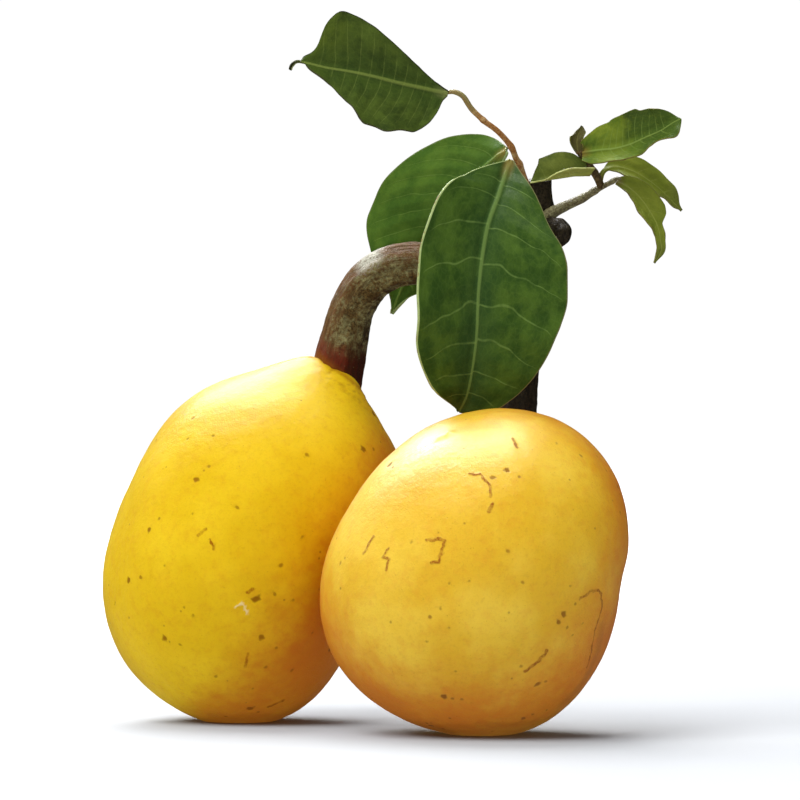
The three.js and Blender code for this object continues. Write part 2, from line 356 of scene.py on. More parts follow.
colour = graph.blend(graph.times(pores, 0.3), colour, paint(160, 96, 6))
freckles = graph.group(
    speck_group, {"Place": given["Place"], "Scale": 0.42, "Size": 0.085, "Amount": 0.42}
)["Specks"]
colour = graph.blend(graph.times(freckles, 0.5), colour, paint(146, 84, 6))
colour = graph.blend(graph.times(given["Bruise"], 0.8), colour, paint(160, 92, 10))
ragged = graph.fade(graph.noise(given["Place"], 6.0, 2, 0.6), 0.3, 0.6, 0.5, 1.0)
scar = graph.times(given["Scar"], ragged)
colour = graph.blend(graph.times(scar, 0.95), colour, paint(156, 84, 0))
colour = graph.blend(graph.times(given["Spot"], 0.85), colour, paint(130, 72, 0))
colour = graph.blend(graph.times(given["Corky"], 0.8), colour, paint(246, 226, 168))
graph.plug(colour, result["Colour"])
marks = graph.math("MAXIMUM", graph.math("MAXIMUM", scar, given["Spot"]), pores)
rough = graph.fade(marks, 0, 1, 0.0, 0.35)
rough = graph.math("ADD", rough, graph.fade(grain, 0.3, 0.8, 0.44, 0.54))
graph.plug(rough, result["Roughness"])
graph.plug(graph.fade(marks, 0, 1, 1.0, 0.15), result["Wax"])
height = graph.math("ADD", graph.times(grain, 0.35), graph.times(mottle, 0.4))
height = graph.math("ADD", height, graph.times(peel, 0.8))
height = graph.math("SUBTRACT", height, graph.times(pores, 0.6))
graph.plug(height, result["Height"])
print("ripe skin:", len(skin_group.nodes), "nodes")


# %% Mix a skin
def marula_skin(name, form, yellow, pale, orange, lit_pale_side, flush_and_shade, gloss):
    """
    Given in mm: the middle of the lit, pale side, from the middle of the fruit, and how far from
    there the orange starts, is full, wanes and is nearly gone. That orange is partly real flush and
    partly painted shade on the side away from the light.
    """
    material, graph, shader = new_finish(
        name,
        Specular_IOR_Level=gloss,
        Subsurface_Weight=0.14,
        Subsurface_Radius=(1.0, 0.55, 0.12),
        Subsurface_Scale=1.6 * MM,
        Coat_Roughness=0.3,
    )
    place = graph.place()
    lit_palest = list(form.middle / MM + np.array(lit_pale_side))
    away = graph.node("VectorMath", {0: place, 1: lit_palest}, operation="DISTANCE")
    away = away.outputs["Value"]
    starts, full, wanes, gone = flush_and_shade
    # orange away from the lit side: partly real flush, partly painted shade
    waned = graph.fade(away, wanes, gone, 0.9, 0.35)
    flush_and_shade = graph.times(graph.fade(away, starts, full), waned)
    skin = graph.group(
        skin_group,
        {
            "Place": place,
            "Yellow": yellow,
            "Pale": pale,
            "Orange": orange,
            "Flush And Shade": flush_and_shade,
            "Scar": graph.attribute("scar", "Fac"),
            "Spot": graph.attribute("spot", "Fac"),
            "Corky": graph.attribute("corky", "Fac"),
            "Bruise": graph.attribute("bruise", "Fac"),
        },
    )
    graph.plug(skin["Colour"], shader["Base Color"])
    graph.plug(skin["Roughness"], shader["Roughness"])
    graph.plug(graph.times(skin["Wax"], 0.4 * gloss), shader["Coat Weight"])
    relief = graph.node("Bump", {"Height": skin["Height"], "Distance": 0.13 * MM, "Strength": 0.55})
    graph.plug(relief.outputs[0], shader["Normal"])
    return material


# %% [markdown]
# ## The form of a fruit
#
# A marula is nearly a ball, but not quite: it is longer one way, a little heavier at one side,
# and the flesh swells into a low collar where its stalk goes in. A ball could come from
# create_uvsphere, but its faces crowd together at two poles and would show as a star in the
# gloss. A cube that is cut into a fine grid and then blown up to a ball has even faces all over.
# Its directions then tell how far the skin reaches: a radius, a few gentle waves round the
# outline, the neck where the flesh runs up to the stalk, and the collar with its small hollow.
# The neck and the stalk need not point the same way, so each has a side of its own.

# %% Fruit forms
NECK_RADIUS = 5 * MM
COLLAR_RADIUS, COLLAR_WIDTH, COLLAR_HEIGHT = 4.6 * MM, 1.3 * MM, 0.12 * MM
HOLLOW_RADIUS, HOLLOW_DEPTH = 3.1 * MM, 0.2 * MM


def aim(right, up):
    """A direction from a fruit's middle: degrees round from the front to the right, and up."""
    right, up = math.radians(right), math.radians(up)
    level = math.cos(up)
    return np.array([math.sin(right) * level, -math.cos(right) * level, math.sin(up)])


class Marula:
    """The form of one fruit: lobes are waves (count, height, turned by) of its side outline."""

    def __init__(self, node, middle, radius, depth, lobes, stalk_side, neck_side, neck):
        low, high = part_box(node)
        self.node, self.depth, self.lobes, self.neck = node, depth, lobes, neck * MM
        self.middle = place_in(node, middle)
        self.radius = radius * (high.x - low.x)
        self.stalk_side = unit(np.array(stalk_side, float))
        self.neck_side = unit(np.array(neck_side, float))

    def away(self, directions, side):
        """How far over the skin each direction is from another one."""
        return self.radius * np.arccos(np.clip(directions @ side, -1, 1))

    def from_stalk(self, directions):
        return self.away(directions, self.stalk_side)

    def skin(self, directions, raised=0.0):
        """The skin's points in these directions, raised outwards by so much."""
        turn = np.arctan2(directions[:, 2], directions[:, 0])
        across = np.hypot(directions[:, 2], directions[:, 0])
        reach = np.full(len(directions), self.radius)
        for count, height, first in self.lobes:
            wave = np.cos(count * (turn - math.radians(first)))
            reach += self.radius * height * across**count * wave
        distance = self.from_stalk(directions)
        reach += self.neck * bump(self.away(directions, self.neck_side) / NECK_RADIUS)
        reach += COLLAR_HEIGHT * bump((distance - COLLAR_RADIUS) / COLLAR_WIDTH)
        reach -= HOLLOW_DEPTH * bump(distance / HOLLOW_RADIUS)
        outward = directions * [1, self.depth, 1]
        return self.middle + outward * (reach + raised)[:, None]


right_form = Marula(
    "right_fruit",
    middle=(0.514, 0.5, 0.491),
    radius=0.514,
    depth=0.97,
    lobes=[(2, 0.07, 61.5), (3, 0.031, 62), (4, 0.014, 30)],
    stalk_side=(0.21, 0.61, 0.76),
    neck_side=(0.21, 0.61, 0.76),
    neck=0.6,
)
left_form = Marula(
    "left_fruit",
    middle=(0.493, 0.5, 0.487),
    radius=0.526,
    depth=0.9,
    lobes=[(2, 0.155, 67), (3, 0.03, 38), (4, 0.02, 22)],
    stalk_side=(0.5, -0.02, 0.86),
    neck_side=(0.37, -0.06, 0.92),
    neck=2.3,
)
print("fruit radius in mm:", round(right_form.radius / MM, 2), round(left_form.radius / MM, 2))

# %% [markdown]
# ## Two skins
#
# Both fruits use the same group, but they ripened differently. The front one is paler and waxier,
# and orange towards the sides away from the light, partly as real flush and partly as painted
# shade, and it turns yellow again behind. The other one is a clearer yellow and duller, and orange
# only where it faces its neighbour, which is painted shade and painted reflected light. The orange
# is measured from a place on the lit, pale side of each fruit, which is simpler than painting it.

# %% A skin for each fruit
right_skin = marula_skin(
    "right_marula_skin",
    right_form,
    yellow=paint(236, 188, 22),
    pale=paint(246, 206, 56),
    orange=paint(222, 126, 8),
    # orange away from this lit side: partly real flush, partly painted shade
    lit_pale_side=(-3, -16, 8),
    flush_and_shade=(13, 28, 26, 38),
    gloss=0.4,
)
left_skin = marula_skin(
    "left_marula_skin",
    left_form,
    yellow=paint(230, 190, 12),
    pale=paint(240, 202, 26),
    orange=paint(208, 120, 16),
    # orange where it faces its neighbour: painted shade and painted reflected light
    lit_pale_side=(-49, -6, 35),
    flush_and_shade=(62, 75, 80, 90),
    gloss=0.11,
)

# %% [markdown]
# ## Scars and spots
#
# Wind rubs twigs against the growing fruit, and insects bite it, which leaves thin corky scars,
# brown spots and wide faint stains. The scars have a character of their own, so each is a short
# stroke of the brush: a place to start from, a few steps, and a width. The brush then wanders a
# little from the straight line, as a scratch does. Spots have no such character, so a seeded
# generator scatters them. The mesh is cut finer along all the marks, so that a scar a third of a
# millimetre wide still has crisp edges and a real height.

# %% A stroke of the brush
def stroke(width, start, *steps):
    """A scar: its half width in mm, its start round and up in degrees, and its steps from there."""
    places = [start]
    for right, up in steps:
        places.append((places[-1][0] + right, places[-1][1] + up))
    return width, places


# %% Scars on the right fruit
right_strokes = [
    stroke(0.15, (-5, 40), (5, -1), (4, -4), (0, -5)),
    stroke(0.18, (5, 27), (-2, -3)),
    stroke(0.18, (-20, 14), (7, 0), (-1, -4), (-1, -4), (-3, 0)),
    stroke(0.2, (-45, 15), (-3, -6)),
    stroke(0.16, (-36, 11), (-2, -3), (3, -1), (-1, -4)),
    stroke(0.17, (40, -8), (6, 3), (6, 0), (4, -6), (-2, -10), (6, -15)),
    stroke(0.22, (20, -35), (5, 4), (3, 4)),
    stroke(0.17, (20, 55), (0, -5)),
]
right_corky = [stroke(0.1, (-24, 62), (2, 1))]
right_stains = [stroke(0.9, (60, -20), (6, -10), (0, -12), (-6, -10))]

# %% Scars on the left fruit
left_strokes = [
    stroke(0.2, (-18, 5), (3, 2)),
    stroke(0.13, (-13, 3), (1, -3)),
    stroke(0.2, (15, -65), (10, 3)),
    stroke(0.22, (0, -15), (2, 1)),
    stroke(0.16, (0, -38), (-1, -5)),
]
left_stains = [stroke(0.8, (65, -10), (4, -14), (-5, -12))]
left_corky = [stroke(0.1, (-4, -20), (2, 1), (1, -1), (1, -3))]
print("scars in front:", len(right_strokes), "and", len(left_strokes))

# %% [markdown]
# ## Growing the skin
#
# The spots, and the scars of the far side, come from a seeded random generator, which gives the
# same marks on each run. Then the ball is cut, and the strokes are found by a KD-tree, which is a
# quick way to ask for the nearest of many points. Last the skin is raised: soft dents, a fine
# unevenness, warts and dents of their own where asked, folds in the flesh where it clasps the
# stalk, and tiny pits round it. The flat spot comes at the very end: what would sink below the
# table is pressed level with it.


# %% Scatter the marks
BIG_SPOT = 0.25  # half width in mm, from which a spot has a small one beside it
SCARS_BEHIND = 6


def scatter_marks(seed, behind=60, in_front=48):
    """Spots all over a fruit, a few of them large with a small one beside, and scars behind."""
    random = np.random.default_rng(seed)
    spots = []
    for count, middle in ((behind, 180), (in_front, 0)):
        for size in 0.13 + 0.25 * random.random(count) ** 2:
            right = middle + random.uniform(-90, 90)
            up = math.degrees(math.asin(random.uniform(-0.95, 0.85)))
            spots.append((right, up, size))
            if size > BIG_SPOT:
                beside = right + random.uniform(4, 8), up + random.uniform(-5, 5)
                spots.append((*beside, 0.6 * size))
    strokes = []
    for _ in range(SCARS_BEHIND):
        right, up = random.uniform(95, 265), random.uniform(-45, 45)
        places = [(right, up)]
        for _ in range(random.integers(2, 6)):
            right, up = right + random.uniform(-4, 5), up + random.uniform(-5, 3)
            places.append((right, up))
        strokes.append((0.17, places))
    return strokes, spots


# %% Brush and find the marks
DOT_GAP = 0.06 * MM
WANDER, WANDER_SCALE = 0.01, 28
noise.seed_set(7)  # noise_vector would differ from run to run without it


def brush(strokes, radius):
    """The dots that a row of strokes is made of, half width and direction: each wanders a little."""
    dots = []
    for width, places in strokes:
        ends = [aim(*place) for place in places]
        for a, b in zip(ends, ends[1:]):
            steps = 2 + int(np.linalg.norm(b - a) * radius / DOT_GAP)
            for t in np.linspace(0, 1, steps):
                place = a + (b - a) * t
                wander = WANDER * np.array(noise.noise_vector(WANDER_SCALE * place))
                dots.append((width, unit(place + wander)))
    return dots


def nearest_mark(directions, radius, dots):
    """How far each direction is from the nearest dot, in its half widths, and that half width."""
    tree = kdtree.KDTree(len(dots))
    for number, (_, place) in enumerate(dots):
        tree.insert(place, number)
    tree.balance()
    found = [tree.find(direction)[1:] for direction in directions]
    sizes = np.array([dots[number][0] for number, _ in found])
    return np.array([gap for _, gap in found]) * radius / MM / sizes, sizes


# %% Cut a ball
GRID_CUTS, MARK_CUTS = 105, 2
FINE_REACH = 2.6  # how far round a mark the ball is cut finer, in half widths of the mark


def cut_ball(radius, kinds):
    """An even ball of small squares, finer near the marks, and the direction of each corner."""
    bm = bmesh.new()
    bmesh.ops.create_cube(bm, size=2)
    bmesh.ops.subdivide_edges(bm, edges=bm.edges[:], cuts=GRID_CUTS, use_grid_fill=True)
    for vertex in bm.verts:
        vertex.co = Vector([math.tan(c * math.pi / 4) for c in vertex.co]).normalized()
    nearest = np.min([nearest_mark(corners(bm), radius, dots)[0] for dots in kinds], axis=0)
    marked = {vertex for vertex, away in zip(bm.verts, nearest) if away < FINE_REACH}
    edges = [edge for edge in bm.edges if edge.verts[0] in marked and edge.verts[1] in marked]
    bmesh.ops.subdivide_edges(bm, edges=edges, cuts=MARK_CUTS, use_grid_fill=True)
    return bm, unit(corners(bm))


# %% Masks of the marks
def noise_at(grains, scale):
    """Noise at each of many places: the higher the scale, the finer it is."""
    return np.array([noise.noise(grain * scale) for grain in grains])


def mark_masks(radius, directions, grains, kinds, stains):
    """How much scar, spot, cork and stain each place has, with frayed edges."""
    frayed = 1 + 0.6 * noise_at(grains, 2.3)
    wear_and_highlight = np.clip(0.9 + 1.2 * noise_at(grains, 1.1), 0.6, 1)
    gaps, sizes = zip(*(nearest_mark(directions, radius, dots) for dots in kinds))
    scar, spot, cork = (np.clip(2.3 - 1.8 * frayed * gap, 0, 1) for gap in gaps)
    stain_gap, _ = nearest_mark(directions, radius, brush(stains, radius))
    stain = np.clip(1.6 - frayed * stain_gap, 0, 1)
    return scar * wear_and_highlight, spot * np.clip(0.3 + 1.8 * sizes[1], 0, 1), cork, stain


# %% Relief of the skin
def unevenness(form, directions, grains, seed):
    """Soft dents, a fine unevenness, and rougher flesh round the stalk, in mm."""
    own = [grain + Vector((seed, 0, 0)) for grain in grains]
    soft = 0.16 * noise_at(own, 0.16) + 0.035 * noise_at(own, 0.6) + 0.009 * noise_at(own, 2.2)
    near_stalk = bump(form.from_stalk(directions) / MM / 5.5)
    return soft + near_stalk * (0.1 * noise_at(own, 1.5) + 0.06 * noise_at(own, 3.4))


def lump_relief(form, directions, lumps):
    """Warts and dents of their own, in mm, from (round, up, height, radius)."""
    raised = np.zeros(len(directions))
    for right, up, height, size in lumps:
        raised += height * bump(form.away(directions, aim(right, up)) / MM / size)
    return raised


def clasping_folds(form, directions, height):
    """The folds in the flesh where it clasps the stalk, in mm: three waves of different count."""
    east = unit(np.cross(form.stalk_side, (0, 1, 0)))
    north = np.cross(form.stalk_side, east)
    turn = np.arctan2(directions @ north, directions @ east)
    waves = [np.cos(count * turn + first) for count, first in ((5, 0.4), (8, 2.0), (13, 1.0))]
    return height * sum(waves) / 3 * bump((form.from_stalk(directions) / MM - 4.2) / 1.3)


# %% Grow a marula
def grow_marula(form, name, material, strokes, corky, stains, seed, lumps, folds):
    far_strokes, spots = scatter_marks(seed)
    kinds = [
        brush(strokes + far_strokes, form.radius),
        [(size, aim(right, up)) for right, up, size in spots],
        brush(corky, form.radius),
    ]
    bm, directions = cut_ball(form.radius, kinds)
    grains = [Vector(direction * form.radius / MM) for direction in directions]
    scar, spot, cork, stain = mark_masks(form.radius, directions, grains, kinds, stains)
    distance = form.from_stalk(directions) / MM
    pits = np.clip(3 * noise_at(grains, 2.1) - 0.3, 0, 1)
    bruise = np.maximum(
        0.8 * bump((distance - 3.3) / 0.4),
        0.75 * pits * bump((distance - 3.8) / 1.6),
    )
    bruise = np.maximum(bruise, 0.35 * stain)
    raised = unevenness(form, directions, grains, seed) + lump_relief(form, directions, lumps)
    raised += clasping_folds(form, directions, folds)
    raised += 0.03 * scar + 0.08 * cork - 0.04 * spot
    raised -= 0.08 * pits * bump((distance - 3.8) / 2.0)
    points = form.skin(directions, raised * MM)
    points[:, 2] = np.maximum(points[:, 2], 0)
    attributes = {"scar": scar, "spot": spot, "corky": cork, "bruise": bruise}
    hand_in(bm, name, form.node, [material], points, attributes)


# %% Grow both fruits
grow_marula(
    right_form,
    "right_marula",
    right_skin,
    right_strokes,
    right_corky,
    right_stains,
    seed=11,
    lumps=[(-24, 62, 0.28, 0.7), (-30, 60, 0.16, 0.5), (86, -3, -0.24, 3.0), (84, 8, 0.12, 2.6)],
    folds=0.08,
)
grow_marula(
    left_form,
    "left_marula",
    left_skin,
    left_strokes,
    left_corky,
    left_stains,
    seed=29,
    lumps=[
        (75, 52, 0.15, 0.5),
        (88, 38, -0.45, 4.0),
        (92, 48, -0.3, 2.4),
        (74, 57, 0.7, 1.7),
        (60, 10, -0.2, 4.0),
    ],
    folds=0.06,
)

# %% [markdown]
# ## Bark
#
# A stalk is a round rod that thickens at its ends, with bark that is wrinkled along its length.
# Here it is turned like a leg on a lathe, straight and at full size, and roughened while it is
# straight, which is easy because every wrinkle runs along Z. Only then is it bent along its
# route. The straight place of each point is kept as an attribute, so the bark's pattern bends
# with the stalk.


# %% Turn a stalk
def turn_rod(length, radii, sides, step, rounded):
    """A straight rod up the Z axis, closed at both ends, as a bmesh."""
    ends = [1 - (1 - t) ** 2 for t in (0.0, 0.3, 0.55, 0.8)]
    rows = [(t * rounded, math.sqrt(max(0, 1 - (1 - t) ** 2))) for t in ends]
    count = max(8, int((length - 2 * rounded) / step))
    middle = [(rounded + (length - 2 * rounded) * i / count, 1.0) for i in range(count + 1)]
    rows = rows + middle + [(length - along, wide) for along, wide in reversed(rows)]
    bm = bmesh.new()
    profile = []
    for along, wide in rows:
        radius = float(smoothly(radii, along / length)) * MM * wide
        profile.append(bm.verts.new((radius, 0, along)))
    edges = [bm.edges.new(pair) for pair in zip(profile, profile[1:])]
    bmesh.ops.spin(
        bm, geom=profile + edges, cent=(0, 0, 0), axis=(0, 0, 1), dvec=(0, 0, 0),
        angle=2 * math.pi, steps=sides, use_merge=True, use_duplicate=False,
    )  # fmt: skip
    bmesh.ops.remove_doubles(bm, verts=bm.verts[:], dist=1e-8)
    bmesh.ops.recalc_face_normals(bm, faces=bm.faces[:])
    return bm


# %% Bend a stalk
def bend(route, straight, start_side=(0, -1, 0)):
    """Carries straight points to the route, with a frame that turns as little as it can."""
    rings = np.linspace(0, 1, 400)
    headings = route.heading(rings)
    side = np.array(start_side, float)
    sides = []
    for heading in headings:
        side = unit(side - heading * (side @ heading))
        sides.append(side)
    share = straight[:, 2] / route.length
    heading = route.heading(share)
    clipped = np.clip(share, 0, 1)
    side = np.stack([np.interp(clipped, rings, axis) for axis in np.array(sides).T], -1)
    side = unit(side - heading * np.sum(side * heading, axis=1, keepdims=True))
    other = np.cross(heading, side)
    return route.at(share) + side * straight[:, :1] + other * straight[:, 1:2]


# %% Wrinkle a stalk
def wrinkled(straight, ridges, warts, seed, swellings=()):
    """Pushes a straight rod's surface in and out: long ridges, fine warts and rings of swelling."""
    out = unit(straight[:, :2] + 1e-12)
    radius = np.hypot(straight[:, 0], straight[:, 1])
    push = np.zeros(len(straight))
    for i, (x, y, z) in enumerate(straight / MM):
        long_grain = noise.noise((x * 1.1 + seed, y * 1.1, z * 0.22))
        fine_grain = noise.noise((x * 2.6, y * 2.6 + seed, z * 1.3))
        push[i] = ridges * long_grain + warts * fine_grain
    for at, height, size in swellings:
        push += height * bump((straight[:, 2] / MM - at) / size)
    fade = np.clip(radius / (0.5 * MM), 0, 1)
    moved = straight.copy()
    moved[:, :2] += out * (push * fade * MM)[:, None]
    return moved


# %% Make a stalk
def make_rod(node, shares, radii, sides, step, rounded, ridges, warts, seed, swellings=()):
    """
    A bent stalk as a bmesh, its points and its straight places. shares = its route through the
    node's box, sides = corners round it, step = between its rings, and rounded = its round ends,
    in mm. swellings = rings (how far along, height, half width) in mm.
    """
    route = Route(node, shares)
    bm = turn_rod(route.length, radii, sides, step * MM, rounded * MM)
    straight = corners(bm)
    moved = bend(route, wrinkled(straight, ridges, warts, seed, swellings))
    return bm, moved, straight


def hand_in_wood(name, node, barks, rods):
    """Hands in one piece of wood, from one or more rods that grew as one, each with its bark."""
    joined = bmesh.new()
    for number, (bm, _, _) in enumerate(rods):
        part = bpy.data.meshes.new("part")
        bm.to_mesh(part)
        bm.free()
        part.polygons.foreach_set("material_index", [number] * len(part.polygons))
        joined.from_mesh(part)
        bpy.data.meshes.remove(part)
    moved = np.concatenate([moved for _, moved, _ in rods])
    straight = np.concatenate([straight for _, _, straight in rods])
    hand_in(joined, name, node, barks, moved, {"straight": straight})


# %% [markdown]
# ## Bark finishes
#
# Old bark is seen as three layers: the bark's own brown, paler lichen in ragged patches, and the
# dark lines of its wrinkles. One group makes the masks for all of them from the straight places,
# and each bark mixes its own colours over them. The thick mottled stalk has more to tell: maroon at
# its root, reddish brown on its left side, painted shade on its right side and on the right of its
# root, a painted highlight at one place on its left side, and raw where the flesh clasps it. Those
# are extras that a bark may leave out.

# %% Bark group
bark_group, graph, given, result = new_group(
    "wrinkled_bark",
    {"Straight": "place", "Patch Size": "number", "Patches": "number"},
    {"Lichen": "number", "Wrinkle": "number", "Grain": "number", "Height": "number"},
)
patch_scale = graph.math("DIVIDE", 1.0, given["Patch Size"])
colonies = graph.noise(given["Straight"], graph.times(patch_scale, 0.4), 3, 0.6)
start = graph.math("SUBTRACT", 0.72, graph.times(given["Patches"], 0.4))
colonies = graph.fade(colonies, start, graph.math("ADD", start, 0.16))
flecks = graph.fade(graph.noise(given["Straight"], patch_scale, 5, 0.75), 0.36, 0.66)
lichen = graph.times(colonies, flecks)
graph.plug(lichen, result["Lichen"])
long_grain = graph.node("Mapping", {"Vector": given["Straight"], "Scale": (1, 1, 0.16)})
lines = graph.noise(long_grain.outputs[0], 2.4, 4, 0.6, 0.2)
wrinkle = graph.fade(lines, 0.6, 0.34)
graph.plug(wrinkle, result["Wrinkle"])
grain = graph.noise(given["Straight"], 3.4, 5, 0.7)
graph.plug(grain, result["Grain"])
height = graph.math("SUBTRACT", graph.times(lichen, 0.5), wrinkle)
graph.plug(graph.math("ADD", height, grain), result["Height"])
print("wrinkled bark:", len(bark_group.nodes), "nodes")


# %% Mix a bark
def bark_finish(
    name,
    bark,
    dark,
    lichen,
    patch_size,
    patches,
    roughness,
    gloss=0.35,
    base=None,
    sides=None,
    wear_and_highlight=None,
    foot=None,
):
    """
    base = (colour, painted shade on its right side, from, to) tints the root end, sides = the reddish
    left side's colour and the painted shade of the right side, the pale streak = (colour, place
    along, half length) a painted highlight on that left side, foot = (colour, from, to) the raw edge
    where the flesh clasps a leaning stalk. All in mm.
    """
    material, graph, shader = new_finish(name, Specular_IOR_Level=gloss)
    straight = graph.millimetres(graph.attribute("straight"))
    masks = graph.group(
        bark_group, {"Straight": straight, "Patch Size": patch_size, "Patches": patches}
    )
    _, sideways, along = graph.parts(straight)
    colour = graph.blend(graph.fade(masks["Grain"], 0.36, 0.64), dark, bark)
    lichen_share = masks["Lichen"]
    if sides:
        uneven = graph.math("ADD", sideways, graph.fade(masks["Grain"], 0.3, 0.7, -0.7, 0.7))
        # The first side colour is the left side's own reddish brown; the second is painted shade.
        colour = graph.blend(graph.fade(uneven, -0.4, -2.4, 0, 0.75), colour, sides[0])
        colour = graph.blend(graph.fade(uneven, 0.9, 2.6, 0, 0.85), colour, sides[1])
        lichen_share = graph.times(lichen_share, graph.fade(uneven, -2.4, -1.0, 0.15, 1.0))
    if base:
        # The second base colour is painted shade on the right side of the root end.
        tint, painted_shade_side, start, stop = base
        wobble = graph.times(graph.noise(straight, 0.5, 3), stop - start)
        bare = graph.fade(graph.math("SUBTRACT", along, wobble), stop, start)
        deep = graph.blend(graph.fade(sideways, -1.0, 2.2, 0, 0.8), tint, painted_shade_side)
        deep = graph.blend(graph.times(masks["Grain"], 0.5), deep, dark)
        colour = graph.blend(bare, colour, deep)
        lichen_share = graph.times(lichen_share, graph.math("SUBTRACT", 1.0, bare))
    colour = graph.blend(graph.times(lichen_share, 0.9), colour, lichen)
    colour = graph.blend(graph.times(masks["Wrinkle"], 0.45), colour, dark)
    # A pale streak on the left side of the stalk: a painted highlight that stands for its gloss.
    if wear_and_highlight:
        tint, at, size = wear_and_highlight
        gap = graph.math("ABSOLUTE", graph.math("SUBTRACT", along, at))
        painted_highlight = graph.times(graph.fade(gap, size, 0.3 * size), graph.fade(uneven, -1.2, -2.1))
        painted_highlight = graph.times(painted_highlight, graph.fade(masks["Grain"], 0.35, 0.6, 0.3, 0.95))
        colour = graph.blend(painted_highlight, colour, tint)
    if foot:
        tint, start, stop = foot
        level = graph.math("MULTIPLY_ADD", sideways, 0.6, along)
        colour = graph.blend(graph.fade(level, stop, start), colour, tint)
    pores = graph.group(
        speck_group, {"Place": straight, "Scale": 1.7, "Size": 0.15, "Amount": 0.4}
    )["Specks"]
    colour = graph.blend(graph.times(pores, 0.4), colour, lichen)
    graph.plug(colour, shader["Base Color"])
    rough = graph.fade(masks["Grain"], 0.3, 0.7, roughness - 0.06, roughness + 0.1)
    graph.plug(rough, shader["Roughness"])
    relief = graph.node("Bump", {"Height": masks["Height"], "Distance": 0.12 * MM, "Strength": 0.6})
    graph.plug(relief.outputs[0], shader["Normal"])
    return material


# %% Barks of the thick stalks and the twig
mottled_bark = bark_finish(
    "mottled_stalk_bark",
    bark=paint(112, 92, 54),
    dark=paint(54, 42, 22),
    lichen=paint(150, 150, 106),
    patch_size=0.7,
    patches=0.85,
    roughness=0.55,
    gloss=0.08,
    # The second colours of base and sides are painted shade on the right side.
    base=(paint(124, 42, 28), paint(44, 14, 10), 5.2, 8.2),
    sides=(paint(116, 78, 46), paint(48, 34, 18)),
    # A pale streak here is a painted highlight that stands for the stalk's gloss.
    wear_and_highlight=(paint(212, 212, 194), 19.0, 2.1),
    foot=(paint(128, 74, 22), 5.0, 6.4),
)
dark_bark = bark_finish(
    "dark_stalk_bark",
    bark=paint(60, 50, 33),
    dark=paint(26, 21, 13),
    lichen=paint(96, 92, 64),
    patch_size=0.8,
    patches=0.25,
    roughness=0.5,
    gloss=0.25,
)

# %% Barks of the thin shoots
shoot_bark = bark_finish(
    "shoot_bark",
    bark=paint(150, 146, 106),
    dark=paint(92, 82, 54),
    lichen=paint(168, 164, 126),
    patch_size=0.5,
    patches=0.5,
    roughness=0.55,
)
fork_bark = bark_finish(
    "fork_bark",
    bark=paint(112, 94, 52),
    dark=paint(60, 44, 24),
    lichen=paint(136, 120, 72),
    patch_size=0.5,
    patches=0.3,
    roughness=0.5,
)
leaf_stalk_skin = bark_finish(
    "leaf_stalk_skin",
    bark=paint(184, 138, 82),
    dark=paint(146, 92, 38),
    lichen=paint(206, 182, 128),
    patch_size=0.6,
    patches=0.6,
    roughness=0.45,
    # The second base colour is painted shade on the right side of the greener root end.
    base=(paint(158, 160, 102), paint(120, 122, 74), 2.4, 5.2),
)

# %% [markdown]
# ## The two thick stalks
#
# Each stalk is a route through its CAD box, a row of radii, and a few swellings. The left one
# rises steeply and then bends over to the twig, and the right one goes almost straight up behind
# the big leaf. Both run a little way into the fruit and into the twig, so no gap can open there.

# %% Stalk of the left fruit
left_stalk = make_rod(
    "left_fruit_stalk",
    shares=[
        (0.12, 0.76, -0.06),
        (0.16, 0.73, 0.2),
        (0.19, 0.7, 0.4),
        (0.23, 0.66, 0.57),
        (0.31, 0.58, 0.72),
        (0.43, 0.48, 0.8),
        (0.58, 0.38, 0.82),
        (0.74, 0.28, 0.82),
        (0.9, 0.21, 0.84),
        (1.01, 0.18, 0.86),
    ],
    radii=[3.4, 3.05, 2.8, 2.6, 2.6, 2.65, 2.8, 2.9],
    sides=96,
    step=0.2,
    rounded=0.8,
    ridges=0.22,
    warts=0.06,
    seed=3.0,
    swellings=[(7, 0.15, 1.5), (20, 0.12, 2.0), (25, -0.1, 1.5), (31, 0.1, 1.2)],
)
hand_in_wood("mottled_stalk", "left_fruit_stalk", [mottled_bark], [left_stalk])

# %% Stalk of the right fruit
right_stalk = make_rod(
    "right_fruit_stalk",
    shares=[
        (0.33, 0.18, -0.03),
        (0.46, 0.43, 0.25),
        (0.54, 0.56, 0.48),
        (0.63, 0.69, 0.74),
        (0.68, 0.77, 0.98),
    ],
    radii=[2.9, 2.7, 2.5, 2.4, 2.5],
    sides=80,
    step=0.22,
    rounded=0.8,
    ridges=0.2,
    warts=0.06,
    seed=9.0,
    swellings=[(8, 0.12, 1.5), (16, 0.1, 2.0)],
)
hand_in_wood("dark_stalk", "right_fruit_stalk", [dark_bark], [right_stalk])

# %% [markdown]
# ## Twig, spur and side shoot
#
# The twig is the old wood that everything grows from, and its end was cut with a clean snip, so
# it is nearly flat there. A short hooked spur beside it is a bud that never opened. The side
# shoot is this year's thin growth with a fork near its end. The fork and the shoot grew as one,
# so they stay one piece: two rods that run into each other.

# %% Twig
twig = make_rod(
    "twig",
    shares=[
        (0.45, 0.53, -0.04),
        (0.52, 0.51, 0.26),
        (0.61, 0.44, 0.53),
        (0.66, 0.35, 0.78),
        (0.66, 0.28, 0.99),
    ],
    radii=[2.6, 2.75, 2.2, 1.75, 1.6],
    sides=72,
    step=0.16,
    rounded=0.25,
    ridges=0.22,
    warts=0.08,
    seed=17.0,
    swellings=[(3, 0.25, 0.8), (6.2, 0.3, 0.6), (9.5, 0.15, 0.5)],
)
hand_in_wood("twig_wood", "twig", [dark_bark], [twig])

